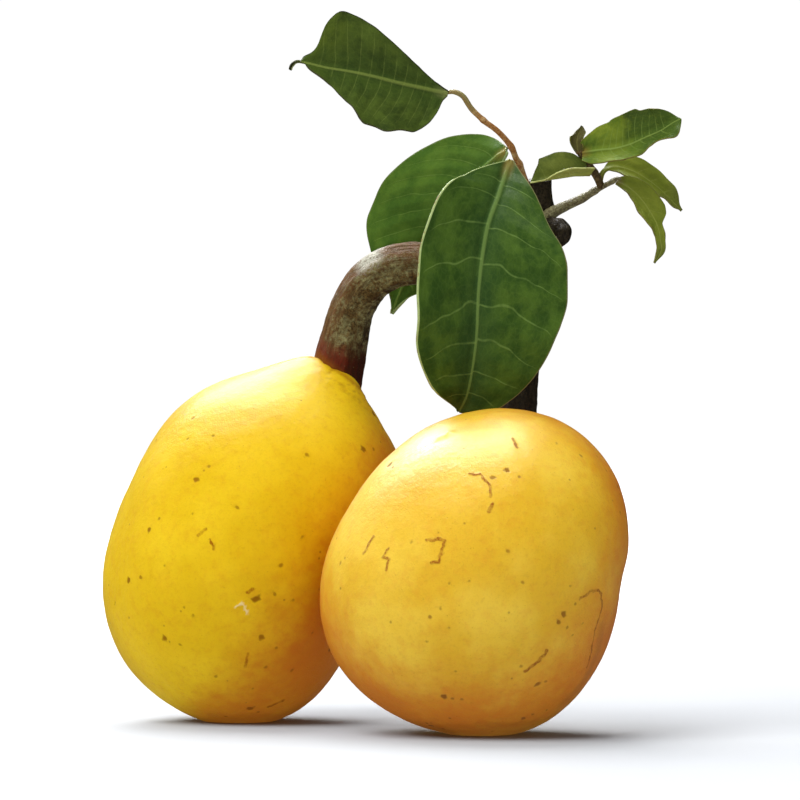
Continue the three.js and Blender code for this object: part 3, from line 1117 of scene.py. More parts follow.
# %% Spur
spur = make_rod(
    "spur",
    shares=[
        (-0.16, 1.0, 0.56),
        (0.22, 0.7, 0.62),
        (0.55, 0.45, 0.52),
        (0.6, 0.3, 0.26),
        (0.42, 0.2, -0.06),
    ],
    radii=[1.0, 1.1, 1.04, 0.86, 0.26],
    sides=40,
    step=0.1,
    rounded=0.2,
    ridges=0.12,
    warts=0.06,
    seed=5.0,
    swellings=[(2.6, 0.1, 0.25), (3.6, 0.08, 0.3)],
)
hand_in_wood("hooked_spur", "spur", [dark_bark], [spur])

# %% Side shoot with its fork
shoot = make_rod(
    "side_shoot",
    shares=[
        (-0.09, 0.97, 0.02),
        (0.17, 0.83, 0.18),
        (0.44, 0.69, 0.32),
        (0.67, 0.51, 0.48),
        (0.81, 0.33, 0.56),
        (0.91, 0.24, 0.62),
        (0.98, 0.19, 0.61),
    ],
    radii=[1.0, 0.72, 0.6, 0.54, 0.4, 0.32, 0.3],
    sides=28,
    step=0.1,
    rounded=0.25,
    ridges=0.05,
    warts=0.03,
    seed=21.0,
    swellings=[(1.2, 0.15, 0.4), (7.6, 0.08, 0.35), (10.4, 0.08, 0.25)],
)
fork = make_rod(
    "side_shoot",
    shares=[
        (0.72, 0.48, 0.49),
        (0.65, 0.3, 0.66),
        (0.55, 0.16, 0.83),
        (0.45, 0.07, 0.98),
        (0.4, 0.03, 1.07),
    ],
    radii=[0.44, 0.46, 0.4, 0.42, 0.46],
    sides=24,
    step=0.1,
    rounded=0.3,
    ridges=0.06,
    warts=0.04,
    seed=27.0,
    swellings=[(2.4, 0.06, 0.3), (4.6, 0.1, 0.4)],
)
hand_in_wood("forked_shoot", "side_shoot", [shoot_bark, fork_bark], [shoot, fork])

# %% [markdown]
# ## Stalk of the compound leaf
#
# The leaflets hang on a thin smooth stalk of their own, orange-brown and greener near the twig,
# with a small joint where each pair of leaflets sits. It is turned and bent like the others, with
# hardly any wrinkles.

# %% Leaf stalk
leaf_stalk = make_rod(
    "leaf_stalk",
    shares=[
        (-0.09, 0.04, 0.945),
        (-0.01, 0.04, 0.96),
        (0.06, 0.04, 0.96),
        (0.15, 0.1, 0.92),
        (0.24, 0.22, 0.81),
        (0.38, 0.32, 0.7),
        (0.54, 0.42, 0.6),
        (0.68, 0.58, 0.47),
        (0.74, 0.72, 0.36),
        (0.81, 0.9, 0.23),
        (0.9, 1.06, 0.02),
    ],
    radii=[0.2, 0.32, 0.34, 0.34, 0.34, 0.33, 0.33, 0.36, 0.42, 0.42, 0.5],
    sides=30,
    step=0.1,
    rounded=0.2,
    ridges=0.05,
    warts=0.025,
    seed=33.0,
    swellings=[(6.7, 0.1, 0.3), (11.7, 0.1, 0.5), (14.3, 0.14, 0.5)],
)
hand_in_wood("compound_stalk", "leaf_stalk", [leaf_stalk_skin], [leaf_stalk])

# %% [markdown]
# ## Veins, for every leaf finish
#
# A leaf's veins have a strict order: one midrib, a row of side veins that leave it on both sides
# and arch towards the margin, and a fine net between them. The mesh knows where it is on the
# leaf: how far from the midrib, how far along, how far from the margin, and how many side veins
# it has passed. So the group only has to turn those measures into thin lines.

# %% Vein group
vein_group, graph, given, result = new_group(
    "leaf_veins",
    {
        "Leaf": "place",
        "Passed": "number",
        "Spacing": "number",
        "Midrib": "number",
        "Vein": "number",
        "Margin": "number",
        "Long": "number",
    },
    {
        "Midrib": "number",
        "Veins": "number",
        "Net": "number",
        "Margin": "number",
        "Height": "number",
    },
)
across, along, inset = graph.parts(given["Leaf"])
across = graph.math("ABSOLUTE", across)
taper = graph.times(given["Midrib"], graph.fade(along, 0.0, given["Long"], 1.2, 0.6))
midrib = graph.fade(across, taper, graph.times(taper, 0.3))
graph.plug(midrib, result["Midrib"])
wobble = graph.fade(graph.noise(given["Leaf"], 0.2, 1), 0.2, 0.8, -0.12, 0.12)
passed = graph.math("ADD", given["Passed"], wobble)
away = graph.times(graph.math("PINGPONG", passed, 0.5), given["Spacing"])
thin = graph.fade(across, 0.0, 9.0, 1.2, 0.5)
width = graph.times(given["Vein"], thin)
line = graph.fade(away, width, graph.times(width, 0.2))
line = graph.times(line, graph.fade(inset, 0.1, 1.6))
line = graph.times(line, graph.fade(along, 0.8, 3.0))
faint = graph.fade(graph.noise(given["Leaf"], 0.6, 2), 0.3, 0.6, 0.45, 1.0)
line = graph.times(line, faint)
graph.plug(line, result["Veins"])
net = graph.cells(given["Leaf"], 1.15, "DISTANCE_TO_EDGE")["Distance"]
net = graph.fade(net, 0.1, 0.02)
graph.plug(net, result["Net"])
margin = graph.fade(inset, given["Margin"], graph.times(given["Margin"], 0.6))
graph.plug(margin, result["Margin"])
height = graph.math("ADD", midrib, graph.times(line, 0.6))
graph.plug(graph.math("ADD", height, graph.times(net, 0.15)), result["Height"])
print("leaf veins:", len(vein_group.nodes), "nodes")


# %% [markdown]
# ## Leaf skins
#
# The top of a leaf is deep green in soft clouds, a little different beside the midrib, and
# brownish at its root. Over that lie the net, the side veins, the midrib and the dry rim, each as
# strong as it is clear on the real leaf. The underside is the same recipe in a paler, greyer
# green, as on most trees. The gloss stays low: a strong one would paint the leaf white from above.

# %% Mix a leaf skin
def leaf_finish(
    name,
    deep,
    light,
    near,
    vein,
    rims,
    root,
    widths,
    shown,
    long,
    spacing=3.0,
    roughness=0.52,
    gloss=0.1,
    tip=None,
):
    """
    Colours: deep and light in clouds, near the midrib, veins, the left and right rim, the root.
    widths = half widths of midrib, side veins and rim in mm.
    shown = how clear the midrib, the side veins and the net are.
    long = the leaf's length in mm. tip = (colour, where it starts, where it is full) in mm.
    """
    material, graph, shader = new_finish(name, Specular_IOR_Level=gloss)
    leaf = graph.millimetres(graph.attribute("leaf_at"))
    midrib, side_vein, margin = widths
    masks = graph.group(
        vein_group,
        {
            "Leaf": leaf,
            "Passed": graph.attribute("passed", "Fac"),
            "Spacing": spacing,
            "Midrib": midrib,
            "Vein": side_vein,
            "Margin": margin,
            "Long": long,
        },
    )
    side, along, _ = graph.parts(leaf)
    across = graph.math("ABSOLUTE", side)
    cloud = graph.noise(leaf, 0.3, 4, 0.6)
    colour = graph.blend(graph.fade(cloud, 0.36, 0.66), deep, light)
    if tip:
        tint, start, stop = tip
        ragged = graph.math("ADD", along, graph.fade(cloud, 0.3, 0.7, -1.5, 1.5))
        colour = graph.blend(graph.fade(ragged, start, stop), colour, tint)
    colour = graph.blend(graph.fade(across, 0.4, 3.6, 0.6, 0.0), colour, near)
    tooth = graph.noise(leaf, 2.6, 4, 0.7)
    colour = graph.blend(graph.fade(tooth, 0.42, 0.75, 0, 0.2), colour, light)
    colour = graph.blend(graph.fade(tooth, 0.55, 0.25, 0, 0.2), colour, deep)
    for lines, clear in (("Net", shown[2]), ("Veins", shown[1]), ("Midrib", shown[0])):
        colour = graph.blend(graph.times(masks[lines], clear), colour, vein)
    rooted = graph.fade(along, 0.0, 0.12 * long, 0.7, 0)
    rooted = graph.times(rooted, graph.fade(across, 1.1, 0.15))
    colour = graph.blend(rooted, colour, root)
    rim = graph.blend(graph.fade(side, -0.1, 0.1), rims[0], rims[1])
    colour = graph.blend(graph.times(masks["Margin"], 0.9), colour, rim)
    graph.plug(colour, shader["Base Color"])
    rough = graph.fade(tooth, 0.2, 0.8, roughness - 0.06, roughness + 0.08)
    graph.plug(rough, shader["Roughness"])
    relief = graph.node("Bump", {"Height": masks["Height"], "Distance": 0.06 * MM, "Strength": 0.5})
    graph.plug(relief.outputs[0], shader["Normal"])
    return material


# %% Mix a leaf rim
def rim_finish(name, rims, brown):
    """The dry margin of a leaf: the colours of its left and right side, with a little brown."""
    material, graph, shader = new_finish(name, Roughness=0.6, Specular_IOR_Level=0.2)
    side = graph.parts(graph.attribute("leaf_at"))[0]
    spots = graph.noise(graph.place(), 0.9, 4, 0.7)
    rim = graph.blend(graph.fade(side, -0.1 * MM, 0.1 * MM), rims[0], rims[1])
    graph.plug(graph.blend(graph.fade(spots, 0.5, 0.7), rim, brown), shader["Base Color"])
    relief = graph.node("Bump", {"Height": spots, "Distance": 0.05 * MM, "Strength": 0.5})
    graph.plug(relief.outputs[0], shader["Normal"])
    return material


# %% [markdown]
# ## The colours of each leaf
#
# The three leaflets are grown and dark. The young leaves still have yellow in their green, and
# since each opened on another day, they don't share one skin. The numbers after the colours say
# how wide and how clear the veins are, and how long the leaf is.

# %% Skins of the three leaflets
front_rims = (paint(122, 122, 76), paint(168, 186, 120))
front_leaf_top = leaf_finish(
    "front_leaf_top",
    deep=paint(46, 74, 22),
    light=paint(72, 100, 32),
    near=paint(44, 72, 34),
    vein=paint(118, 146, 74),
    rims=front_rims,
    root=paint(140, 116, 58),
    widths=(0.36, 0.15, 0.16),
    shown=(0.62, 0.45, 0.06),
    long=32,
    spacing=3.6,
)
back_rims = (paint(146, 168, 106), paint(96, 112, 56))
back_leaf_top = leaf_finish(
    "back_leaf_top",
    deep=paint(64, 98, 28),
    light=paint(84, 116, 36),
    near=paint(62, 96, 32),
    vein=paint(122, 152, 72),
    rims=back_rims,
    root=paint(156, 132, 60),
    widths=(0.34, 0.14, 0.16),
    shown=(0.6, 0.4, 0.05),
    long=29,
    spacing=3.4,
)
upper_rims = (paint(70, 74, 40), paint(44, 48, 26))
upper_leaf_top = leaf_finish(
    "upper_leaf_top",
    deep=paint(50, 66, 22),
    light=paint(76, 94, 32),
    near=paint(56, 78, 28),
    vein=paint(126, 142, 66),
    rims=upper_rims,
    root=paint(128, 136, 78),
    widths=(0.3, 0.12, 0.13),
    shown=(0.7, 0.25, 0.05),
    long=19,
    spacing=1.9,
    tip=(paint(82, 98, 26), 12, 19),
)

# %% Skins of the young leaves
young_rims = (paint(104, 104, 40), paint(118, 118, 50))
young_top_skin = leaf_finish(
    "young_top_leaf_skin",
    deep=paint(88, 112, 30),
    light=paint(134, 148, 44),
    near=paint(74, 100, 32),
    vein=paint(128, 150, 70),
    rims=young_rims,
    root=paint(128, 100, 44),
    widths=(0.17, 0.07, 0.06),
    shown=(0.7, 0.4, 0.04),
    long=12.6,
    spacing=0.8,
    tip=(paint(50, 68, 24), 5.8, 8.0),
)
young_leaf_skin = leaf_finish(
    "young_leaf_skin",
    deep=paint(100, 112, 30),
    light=paint(136, 144, 48),
    near=paint(104, 118, 36),
    vein=paint(150, 158, 78),
    rims=young_rims,
    root=paint(104, 84, 48),
    widths=(0.12, 0.05, 0.07),
    shown=(0.5, 0.3, 0.04),
    long=11,
    spacing=1.3,
    tip=(paint(84, 84, 44), 8.6, 11.5),
)
folded_leaf_skin = leaf_finish(
    "folded_leaf_skin",
    deep=paint(70, 84, 32),
    light=paint(112, 122, 50),
    near=paint(80, 92, 32),
    vein=paint(140, 150, 76),
    rims=(paint(190, 196, 120), paint(74, 76, 38)),
    root=paint(120, 88, 44),
    widths=(0.1, 0.05, 0.09),
    shown=(0.4, 0.2, 0.04),
    long=7.5,
    spacing=1.3,
)
bud_skin = leaf_finish(
    "bud_skin",
    deep=paint(66, 62, 30),
    light=paint(96, 92, 42),
    near=paint(72, 68, 34),
    vein=paint(118, 116, 60),
    rims=(paint(92, 96, 44), paint(70, 62, 34)),
    root=paint(112, 70, 48),
    widths=(0.1, 0.04, 0.05),
    shown=(0.5, 0.3, 0.04),
    long=4,
    spacing=0.8,
)

# %% Undersides
leaf_under = leaf_finish(
    "leaf_underside",
    deep=paint(112, 130, 70),
    light=paint(138, 152, 90),
    near=paint(116, 134, 76),
    vein=paint(166, 174, 112),
    rims=(paint(160, 166, 110), paint(160, 166, 110)),
    root=paint(150, 120, 66),
    widths=(0.32, 0.16, 0.14),
    shown=(0.8, 0.6, 0.2),
    long=28,
    roughness=0.6,
)
young_under = leaf_finish(
    "young_leaf_underside",
    deep=paint(128, 138, 56),
    light=paint(152, 158, 74),
    near=paint(134, 142, 60),
    vein=paint(178, 184, 110),
    rims=(paint(190, 196, 120), paint(120, 122, 58)),
    root=paint(124, 96, 50),
    widths=(0.16, 0.07, 0.09),
    shown=(0.6, 0.3, 0.1),
    long=10,
    spacing=1.3,
    roughness=0.6,
)

# %% Rims
front_rim = rim_finish("front_leaf_rim", front_rims, paint(140, 112, 64))
back_rim = rim_finish("back_leaf_rim", back_rims, paint(120, 112, 60))
upper_rim = rim_finish("upper_leaf_rim", upper_rims, paint(58, 50, 28))
young_rim = rim_finish("young_leaf_rim", young_rims, paint(96, 72, 36))
folded_rims = (paint(186, 192, 116), paint(74, 76, 38))
folded_rim = rim_finish("folded_leaf_rim", folded_rims, paint(110, 90, 46))
print("leaf finishes:", len([m for m in bpy.data.materials if "leaf" in m.name]))

# %% [markdown]
# ## A leaf
#
# A leaf could be drawn on a flat card, but it would look like one from the side. This leaf
# starts as a fine flat grid with X across and Y along. Each point is then carried to its place
# beside the midrib: out by the leaf's width there, up by the fold of its half, and a little more
# or less by the cup, the wavy margin and the swelling between the veins. Close to the midrib both
# halves are raised the same way, or the narrow crest would fold over itself. A Solidify modifier
# gives the thickness, with a second material for the underside and a third for the rim.
#
# The outline of each half is a row of knots (place along, share of the widest). A free spline
# would swing past sharp corners, so this one keeps between its knots.


# %% Veins and outlines
def side_vein_count(share, starts):
    """How many side veins have been passed at a share of the midrib: whole on each vein."""
    gaps = np.diff(starts)
    knots = [starts[0] - gaps[0] / 2, *starts, starts[-1] + gaps[-1] / 2]
    values = [-0.5, *range(len(starts)), len(starts) - 0.5]
    return np.interp(share, knots, values)


def outline(knots, share):
    """A smooth line through knots (place, height) that never swings past them."""
    places, heights = np.array(knots, float).T
    climbs = np.diff(heights) / np.diff(places)
    before, after = climbs[:-1], climbs[1:]
    total = np.where(before * after > 0, before + after, 1)
    inner = np.where(before * after > 0, 2 * before * after / total, 0)
    slopes = np.concatenate([climbs[:1], inner, climbs[-1:]])
    share = np.clip(share, 0, 1)
    step = np.clip(np.searchsorted(places, share, side="right") - 1, 0, len(places) - 2)
    gap = places[step + 1] - places[step]
    w = (share - places[step]) / gap
    flat = heights[step] + (heights[step + 1] - heights[step]) * w * w * (3 - 2 * w)
    return flat + gap * w * (1 - w) * (slopes[step] * (1 - w) - slopes[step + 1] * w)


# %% A leaf
class Half:
    """
    Half a leaf: its greatest width in mm, the degrees it lifts, how far its edge curls on in mm,
    its outline, and its side veins: where each starts along the midrib, how far forward it runs
    by the margin (rise), and how sharply it arches.
    """

    def __init__(self, width, fold, cup, shape, veins, rise=0.16, arch=1.5):
        self.width, self.fold, self.cup = width, math.radians(fold), cup
        self.shape, self.veins, self.rise, self.arch = shape, veins, rise, arch


class Leaf:
    """
    facing = the way the top looks at the base and at the tip, waves = (count, height in mm, shift)
    of the margin, and quilt = how far the blade swells between its veins, in mm.
    """

    def __init__(self, node, midrib, facing, left, right, grid, seed, quilt, thickness, waves=()):
        self.node, self.route, self.grid = node, Route(node, midrib), grid
        self.facing = np.array(facing, float)
        self.halves = left, right
        self.seed, self.quilt, self.thickness, self.waves = seed, quilt, thickness, waves

    def onward(self, along):
        """How far along the midrib each place is, in mm."""
        return along * self.route.length / MM

    def spot(self, along, side):
        """Points at shares along and from edge to edge, and how far out they are in mm."""
        tangent = self.route.heading(along)
        up = self.facing[0] + (self.facing[1] - self.facing[0]) * along[:, None]
        outward = unit(np.cross(tangent, up))
        upward = np.cross(outward, tangent)
        width, fold, lift = (np.zeros(len(along)) for _ in range(3))
        for chosen, half in zip((side < 0, side >= 0), self.halves):
            reach = half.width * np.clip(outline(half.shape, along), 0, None) * np.abs(side)
            curl = half.cup * (reach / half.width) ** 2
            width[chosen] = reach[chosen]
            fold[chosen] = half.fold
            lift[chosen] = (reach * math.sin(half.fold) + curl)[chosen]
        out = np.sign(side) * width * np.cos(fold)
        return self.route.at(along) + (outward * out[:, None] + upward * lift[:, None]) * MM, width

    def inset(self, along, side):
        """How far each place is from the margin, in mm."""
        edge_width = self.spot(along, np.where(side < 0, -1.0, 1.0))[1]
        ends = self.onward(np.minimum(along, 1 - along))
        return np.minimum((1 - np.abs(side)) * edge_width, ends + 0.3)

    def facing_up(self, along, side, step=1e-3):
        """The way the leaf's top looks at shares along and from edge to edge."""
        inner = side * (1 - step)
        across = self.spot(along, inner + step)[0] - self.spot(along, inner - step)[0]
        onward = self.spot(along + step, side)[0] - self.spot(along - step, side)[0]
        return unit(np.cross(across, onward))

    def raising(self, along, side, width):
        """The way each place is raised: beside the midrib, the way the midrib itself looks."""
        flank = self.facing_up(along, side)
        crest = self.facing_up(along, np.zeros(len(side)))
        return unit(flank + bump(width / 0.8)[:, None] * (crest - flank))

    def veins_passed(self, along, side, width):
        """How many side veins each place has passed, while they run forward on their way out."""
        passed = np.zeros(len(side))
        for chosen, half in zip((side < 0, side >= 0), self.halves):
            start = along - half.rise * (width / half.width) ** half.arch
            passed[chosen] = side_vein_count(start, half.veins)[chosen]
        return passed

    def relief(self, along, side, width, passed):
        """How far each place is raised in mm: quilt, crest of the midrib, waves, unevenness."""
        reach = np.abs(side)
        from_vein = 2 * np.abs(passed - np.round(passed))
        push = self.quilt * from_vein * bump((reach - 0.5) / 0.36)
        taper = np.clip(1.15 - along, 0, 1)
        push += 0.16 * taper * bump(width / 0.26) - 0.1 * bump((width - 0.55) / 0.4)
        for count, height, shift in self.waves:
            wave = np.sin(2 * math.pi * (count * along + shift) + (side > 0) * 1.7)
            push += height * wave * reach**3
        for i, (x, y) in enumerate(zip(np.sign(side) * width, self.onward(along))):
            push[i] += 0.1 * noise.noise((x * 0.35 + self.seed, y * 0.35, 0)) * reach[i]
            push[i] += 0.02 * noise.noise((x * 1.6 + self.seed, y * 1.6, 5))
        return push

    def make(self, name, top, under, rim):
        columns, rows = self.grid
        bm = bmesh.new()
        bmesh.ops.create_grid(bm, x_segments=columns, y_segments=rows, size=1)
        flat = corners(bm)
        side, along = flat[:, 0], (flat[:, 1] + 1) / 2
        points, width = self.spot(along, side)
        passed = self.veins_passed(along, side, width)
        push = self.relief(along, side, width, passed) * MM
        points = points + self.raising(along, side, width) * push[:, None]
        measures = [np.sign(side) * width, self.onward(along), self.inset(along, side)]
        attributes = {"leaf_at": np.stack(measures, 1) * MM, "passed": passed}
        piece = hand_in(bm, name, self.node, [top, under, rim], points, attributes)
        wall = piece.modifiers.new("blade thickness", "SOLIDIFY")
        wall.thickness = self.thickness * MM
        wall.offset = -1
        wall.material_offset, wall.material_offset_rim = 1, 2


# %% [markdown]
# ## The compound leaf
#
# Three leaflets of one compound leaf: a broad one that hangs in front of the stalks, one behind
# them, and the end leaflet, which stands free and has a curled drip tip. A real leaf is never the
# same left and right of its midrib, so each half has its own width, fold, cup and outline.

# %% Front leaflet
front_leaf = Leaf(
    "front_leaf",
    [(0.62, 0.99, 0.99), (0.54, 0.71, 0.85), (0.46, 0.52, 0.71), (0.41, 0.42, 0.5), (0.39, 0.46, 0.28),
     (0.34, 0.63, 0.09), (0.28, 0.84, 0.01)],
    [(0, -1, 0.35), (0, -1, -0.1)],
    left=Half(width=10.6, fold=6, cup=-0.8, rise=0.13, arch=1.7,
              shape=[(0, 0.03), (0.14, 0.44), (0.29, 0.82), (0.43, 0.97), (0.55, 1), (0.71, 0.84),
                     (0.86, 0.58), (1, 0.03)],
              veins=[0.05, 0.12, 0.2, 0.3, 0.43, 0.57, 0.7, 0.81, 0.9]),
    right=Half(width=8.1, fold=28, cup=0.5, rise=0.1, arch=1.7,
               shape=[(0, 0.03), (0.14, 0.54), (0.29, 0.9), (0.43, 0.99), (0.55, 1), (0.71, 0.95),
                      (0.86, 0.66), (0.94, 0.3), (1, 0.03)],
               veins=[0.04, 0.11, 0.18, 0.29, 0.42, 0.58, 0.71, 0.82, 0.91]),
    grid=(90, 170), waves=[(3.2, 0.25, 0.1), (7.3, 0.1, 0.4)], seed=2, quilt=0.16, thickness=0.3,
)  # fmt: skip
front_leaf.make("front_leaf_blade", front_leaf_top, leaf_under, front_rim)

# %% Back leaflet
back_leaf = Leaf(
    "back_leaf",
    [(0.99, 0.01, 0.9), (0.85, 0.2, 0.82), (0.64, 0.5, 0.64), (0.44, 0.78, 0.4), (0.29, 0.92, 0.18),
     (0.2, 0.99, 0.01)],
    [(-0.2, -0.9, 0.5), (-0.2, -0.95, 0.1)],
    left=Half(width=7.4, fold=-16, cup=-0.4, rise=0.2,
              shape=[(0, 0.05), (0.14, 0.45), (0.29, 0.8), (0.43, 0.97), (0.57, 1), (0.71, 0.8),
                     (0.84, 0.42), (0.92, 0.14), (1, 0.0)],
              veins=[0.06, 0.15, 0.26, 0.38, 0.5, 0.62, 0.74, 0.86]),
    right=Half(width=9.0, fold=6, cup=-0.4, rise=0.34, arch=1.3,
               shape=[(0, 0.05), (0.14, 0.48), (0.29, 0.76), (0.43, 0.93), (0.57, 1), (0.71, 0.92),
                      (0.82, 0.6), (0.91, 0.16), (1, 0.0)],
               veins=[0.02, 0.1, 0.19, 0.28, 0.38, 0.48, 0.58, 0.68, 0.78]),
    grid=(84, 150), waves=[(3.0, 0.18, 0.3), (6.5, 0.08, 0.1)], seed=7, quilt=0.14, thickness=0.3,
)  # fmt: skip
back_leaf.make("back_leaf_blade", back_leaf_top, leaf_under, back_rim)

# %% End leaflet
upper_leaf = Leaf(
    "upper_leaf",
    [(0.99, 0.97, 0.35), (0.83, 0.8, 0.39), (0.67, 0.66, 0.43), (0.5, 0.53, 0.48), (0.34, 0.42, 0.52),
     (0.18, 0.34, 0.55), (0.0, 0.3, 0.6), (-0.05, 0.26, 0.57), (-0.065, 0.22, 0.53)],
    [(0, -1, 0.1), (0, -1, 0.2)],
    left=Half(width=6.5, fold=12, cup=0.3, rise=0.12,
              shape=[(0, 0.05), (0.03, 0.15), (0.06, 0.42), (0.12, 0.7), (0.2, 0.88), (0.25, 0.89),
                     (0.35, 1), (0.41, 0.95), (0.48, 0.95), (0.52, 0.88), (0.58, 0.68),
                     (0.66, 0.5), (0.72, 0.32), (0.84, 0.12), (0.9, 0.022), (1, 0.006)],
              veins=[0.03, 0.09, 0.15, 0.21, 0.28, 0.35, 0.42, 0.49, 0.56, 0.63, 0.71]),
    right=Half(width=7.2, fold=24, cup=-0.8, rise=0.06,
               shape=[(0, 0.04), (0.05, 0.1), (0.12, 0.19), (0.26, 0.415), (0.4, 0.63),
                      (0.54, 0.84), (0.64, 0.96), (0.7, 1), (0.76, 0.96), (0.8, 0.84),
                      (0.825, 0.66), (0.838, 0.32), (0.86, 0.19), (0.9, 0.08), (0.91, 0.022),
                      (1, 0.006)],
               veins=[0.03, 0.09, 0.15, 0.21, 0.28, 0.35, 0.42, 0.49, 0.56, 0.63, 0.71, 0.79]),
    grid=(80, 170), waves=[(4.0, 0.2, 0.0), (9.0, 0.07, 0.3)], seed=12, quilt=0.1, thickness=0.2,
)  # fmt: skip
upper_leaf.make("upper_leaf_blade", upper_leaf_top, leaf_under, upper_rim)

# %% [markdown]
# ## Young leaves
#
# The shoot ends in four young leaves and a bud. They are thin, soft and yellowish, and each is
# still unfolding: one is spread, one is folded like a boat so that its far half shows as a light
# band, and two droop. They are leaves like the big ones, only with smaller numbers.

# %% Spread young leaf
young = dict(quilt=0.06, thickness=0.16)
young_top = Leaf(
    "young_leaf_top",
    [(-0.03, 0.97, 0.23), (0.15, 0.85, 0.27), (0.3, 0.7, 0.29), (0.46, 0.52, 0.36), (0.62, 0.36, 0.48),
     (0.78, 0.26, 0.6), (0.9, 0.2, 0.73), (0.99, 0.16, 0.81)],
    [(0, -1, 0.3), (0.2, -1, 0.5)],
    left=Half(width=4.0, fold=20, cup=0.3,
              shape=[(0, 0.32), (0.1, 0.55), (0.2, 0.73), (0.3, 0.82), (0.42, 0.88), (0.56, 0.89),
                     (0.64, 0.88), (0.68, 0.78), (0.74, 0.75), (0.81, 0.7), (0.87, 0.6),
                     (0.93, 0.36), (0.97, 0.14), (1, 0.02)],
              veins=[0.05, 0.12, 0.19, 0.26, 0.33, 0.4, 0.47, 0.54, 0.61, 0.68, 0.75, 0.82]),
    right=Half(width=2.05, fold=16, cup=0.3,
               shape=[(0, 0.6), (0.1, 0.88), (0.2, 0.98), (0.3, 1.02), (0.42, 0.99), (0.56, 0.98),
                      (0.66, 0.8), (0.74, 0.62), (0.8, 0.74), (0.87, 0.92), (0.93, 0.8),
                      (0.97, 0.45), (1, 0.06)],
               veins=[0.08, 0.18, 0.28, 0.38, 0.48, 0.58, 0.68, 0.78]),
    grid=(50, 100), waves=[(2.4, 0.12, 0.2), (6.0, 0.06, 0.1)], seed=3, **young,
)  # fmt: skip
young_top.make("top_young_blade", young_top_skin, young_under, young_rim)

# %% Folded young leaf
young_left = Leaf(
    "young_leaf_left",
    [(1.0, 0.95, 0.31), (0.76, 0.76, 0.3), (0.51, 0.54, 0.22), (0.26, 0.38, 0.155), (0.01, 0.3, 0.07)],
    [(0, -0.25, 1), (-0.2, -0.3, 1)],
    left=Half(width=2.6, fold=34, cup=0.1,
              shape=[(0, 0.83), (0.13, 0.88), (0.25, 0.94), (0.38, 1), (0.5, 0.93), (0.63, 0.72),
                     (0.75, 0.32), (0.88, 0.1), (1, 0.02)],
              veins=[0.15, 0.35, 0.55, 0.75]),
    right=Half(width=3.35, fold=58, cup=0.1,
               shape=[(0, 0.5), (0.1, 0.68), (0.2, 0.84), (0.33, 0.93), (0.45, 0.95), (0.6, 0.9),
                      (0.72, 0.83), (0.77, 0.8), (0.8, 0.64), (0.87, 0.42), (0.95, 0.15),
                      (1, 0.02)],
               veins=[0.15, 0.35, 0.55, 0.75]),
    grid=(44, 70), waves=[(2.0, 0.06, 0.2)], seed=4, **young,
)  # fmt: skip
young_left.make("folded_young_blade", folded_leaf_skin, young_under, folded_rim)

# %% Drooping young leaf
young_right = Leaf(
    "young_leaf_right",
    [(-0.03, 0.08, 0.54), (0.0, 0.1, 0.68), (0.07, 0.16, 0.76), (0.18, 0.25, 0.78), (0.32, 0.35, 0.74),
     (0.49, 0.51, 0.63), (0.72, 0.74, 0.4), (0.99, 0.96, 0.02)],
    [(0.2, -0.9, 0.7), (0.4, -0.9, 0.5)],
    left=Half(width=2.2, fold=26, cup=-0.5,
              shape=[(0, 0.14), (0.1, 0.14), (0.17, 0.4), (0.25, 0.7), (0.39, 0.98), (0.55, 1),
                     (0.69, 0.92), (0.8, 0.82), (0.87, 0.6), (0.94, 0.25), (1, 0.03)],
              veins=[0.15, 0.3, 0.45, 0.6, 0.75]),
    right=Half(width=2.3, fold=22, cup=0.2,
               shape=[(0, 0.14), (0.1, 0.14), (0.2, 0.3), (0.28, 0.72), (0.36, 1.0), (0.46, 1.06),
                      (0.56, 0.92), (0.69, 0.72), (0.8, 0.42), (0.91, 0.26), (1, 0.03)],
               veins=[0.16, 0.31, 0.46, 0.61, 0.76]),
    grid=(44, 96), waves=[(2.2, 0.1, 0.2), (5.0, 0.05, 0.1)], seed=5, **young,
)  # fmt: skip
young_right.make("drooping_young_blade", young_leaf_skin, young_under, young_rim)

# %% Hanging young leaf
young_hanging = Leaf(
    "young_leaf_hanging",
    [(-0.17, 0.93, 0.97), (0.09, 0.85, 0.9), (0.35, 0.73, 0.77), (0.57, 0.58, 0.6), (0.72, 0.44, 0.44),
     (0.78, 0.34, 0.28), (0.8, 0.24, 0.14), (0.65, 0.14, -0.01)],
    [(0.2, -0.9, 0.4), (0.5, -0.9, 0)],
    left=Half(width=1.9, fold=18, cup=0.2,
              shape=[(0, 0.3), (0.07, 0.62), (0.16, 0.84), (0.29, 0.95), (0.45, 1), (0.53, 0.85),
                     (0.61, 0.38), (0.74, 0.35), (0.86, 0.28), (1, 0.05)],
              veins=[0.15, 0.3, 0.45, 0.6, 0.75]),
    right=Half(width=1.65, fold=20, cup=0.2,
               shape=[(0, 0.25), (0.13, 0.45), (0.29, 0.82), (0.46, 1), (0.61, 0.8), (0.74, 0.36),
                      (0.86, 0.36), (1, 0.05)],
               veins=[0.16, 0.31, 0.46, 0.61, 0.76]),
    grid=(40, 96), waves=[(2.6, 0.1, 0.4), (6.0, 0.05, 0.1)], seed=6, **young,
)  # fmt: skip
young_hanging.make("hanging_young_blade", young_leaf_skin, young_under, young_rim)

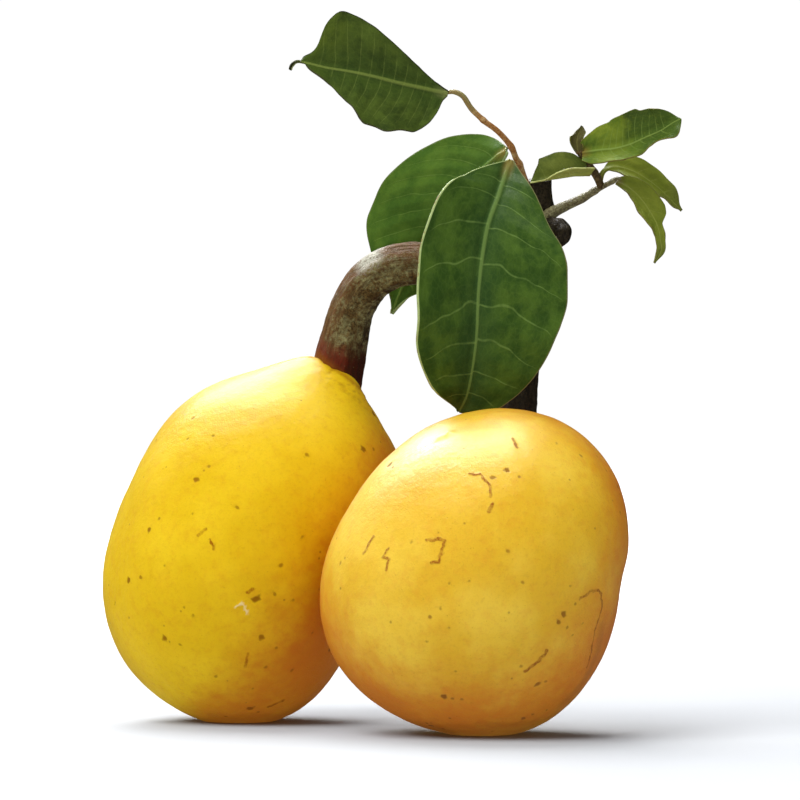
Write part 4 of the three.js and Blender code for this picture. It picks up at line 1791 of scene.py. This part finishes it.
# %% Bud
bud = Leaf(
    "bud",
    [(0.61, 0.45, -0.1), (0.5, 0.49, 0.2), (0.48, 0.55, 0.41), (0.6, 0.72, 0.69), (0.81, 0.9, 0.97)],
    [(-0.2, -1, 0.1), (0, -1, 0)],
    left=Half(width=0.9, fold=34, cup=0.1, veins=[0.3, 0.6],
              shape=[(0, 0.4), (0.3, 0.75), (0.5, 1), (0.6, 0.7), (0.8, 0.45), (1, 0.08)]),
    right=Half(width=0.72, fold=34, cup=0.1, veins=[0.3, 0.6],
               shape=[(0, 0.7), (0.2, 1.05), (0.5, 0.95), (0.8, 1), (0.93, 0.6), (1, 0.08)]),
    grid=(24, 40), seed=8, **young,
)  # fmt: skip
bud.make("unopened_bud", bud_skin, bud_skin, young_rim)

# %% [markdown]
# ## The table
#
# The pair stands on a plain pale table that runs on to the horizon. A plane is enough for it. Seen
# by the camera it has to end in the white of the room, so far away it glows a little. To the
# fruits it has to be a white sheet that lights them from below, but not a mirror that greys their
# gloss. The Light Path node tells these cases apart.

# %% Floor
FLOOR_SIZE, FLOOR_DROP = 6.0, 0.03 * MM
GLOW_FROM, GLOW_FULL = 90.0, 500.0  # mm from the middle of the table


bm = bmesh.new()
bmesh.ops.create_grid(bm, x_segments=1, y_segments=1, size=FLOOR_SIZE / 2)
bmesh.ops.translate(bm, verts=bm.verts[:], vec=(0, 0, -FLOOR_DROP))
floor_mesh = bpy.data.meshes.new("floor")
bm.to_mesh(floor_mesh)
bm.free()
floor = bpy.data.objects.new("floor", floor_mesh)
bpy.context.scene.collection.objects.link(floor)
table_top, graph, shader = new_finish("pale_table", Roughness=0.7, Specular_IOR_Level=0.1)
far = graph.node("VectorMath", {0: graph.place()}, operation="LENGTH").outputs["Value"]
shade = graph.noise(graph.place(), 0.02, 2)
ray = graph.node("LightPath").outputs
seen = ray["Is Camera Ray"]
plain = graph.blend(shade, paint(122, 124, 127), paint(126, 128, 131))
bounced = graph.blend(ray["Is Glossy Ray"], paint(88, 87, 86), paint(26, 26, 28))
graph.plug(graph.blend(seen, bounced, plain), shader["Base Color"])
shader["Emission Color"].default_value = (1, 1, 1, 1)
glow = graph.times(seen, graph.fade(far, GLOW_FROM, GLOW_FULL, 0.0, 0.9))
glow = graph.math("MULTIPLY_ADD", ray["Is Diffuse Ray"], 0.36, glow)
graph.plug(glow, shader["Emission Strength"])
floor_mesh.materials.append(table_top)
print("table:", FLOOR_SIZE, "m wide, top at", -FLOOR_DROP, "m")

# %% [markdown]
# ## Lamps and room
#
# A studio has several softboxes, and each has one task. The key at the left front and the top one
# shape the fruits. The sheen softbox stands behind and above and is only seen in the gloss, where
# it makes the pale patch on each shoulder. Two more light only the table, from behind and from
# the left, and make the soft shadows. One could do it all with a single lamp, but then the shadow
# and the shape can't be set apart. Light linking says which lamp reaches the table. The world is
# the room: even white light, a little brighter on the window side.

# %% Softboxes
def softbox(name, at, width, height, watts):
    """A lamp with a wide soft face, aimed at the middle of the object."""
    light = bpy.data.lights.new(name, "AREA")
    light.shape, light.size, light.size_y = "RECTANGLE", width, height
    light.energy = watts
    lamp = bpy.data.objects.new(name, light)
    lamp.location = at
    lamp.rotation_euler = (middle - Vector(at)).to_track_quat("-Z", "Y").to_euler()
    bpy.context.scene.collection.objects.link(lamp)
    return lamp


key = softbox("key_softbox", (-0.36, -0.56, 1.0), 0.7, 0.7, 7.3)
top = softbox("top_softbox", (-0.05, 0.24, 1.0), 0.8, 0.8, 4.2)
sheen = softbox("sheen_softbox", (-0.2, 0.48, 0.86), 0.55, 0.95, 38)
sheen.visible_diffuse = False
table_back = softbox("table_back_softbox", (-0.45, 0.9, 1.5), 1.6, 1.6, 96)
table_left = softbox("table_left_softbox", (-0.85, -0.7, 1.35), 1.2, 1.2, 92)
for name, state, lamps in (
    ("table_only", "INCLUDE", [table_back, table_left]),
    ("not_the_table", "EXCLUDE", [key, top]),
):
    receivers = bpy.data.collections.new(name)
    receivers.objects.link(floor)
    receivers.collection_objects[0].light_linking.link_state = state
    for lamp in lamps:
        lamp.visible_glossy = False
        lamp.light_linking.receiver_collection = receivers
print("lamps:", [light.name for light in bpy.data.lights])

# %% Room
WINDOW_SIDE = (-0.75, -0.55, 0.35)
room = bpy.data.worlds.new("bright_room")
room.use_nodes = True
graph = Graph(room.node_tree)
direction = graph.node("TexCoord").outputs["Generated"]
facing = graph.node("VectorMath", {0: direction, 1: WINDOW_SIDE}, operation="DOT_PRODUCT")
facing = facing.outputs["Value"]
window = graph.fade(facing, -0.4, 1.0, 0.42, 0.76)
mirrored = graph.fade(facing, 0.1, 1.0, 0.0, 0.5)
ray = graph.node("LightPath").outputs
window = graph.fade(ray["Is Glossy Ray"], 0, 1, window, mirrored)
seen = ray["Is Camera Ray"]
backdrop = room.node_tree.nodes["Background"].inputs
backdrop["Color"].default_value = (1, 1, 1, 1)
lit = graph.math("MULTIPLY_ADD", seen, graph.math("SUBTRACT", 1.02, window), window)
graph.plug(lit, backdrop["Strength"])
bpy.context.scene.world = room
bpy.context.scene.view_settings.view_transform = "Standard"

# %% [markdown]
# ## Count the finishes
#
# The detailed model has to stay the size of the frame. Here the number of finishes is printed.

# %% Count the finishes
print("finishes:", len(bpy.data.materials))
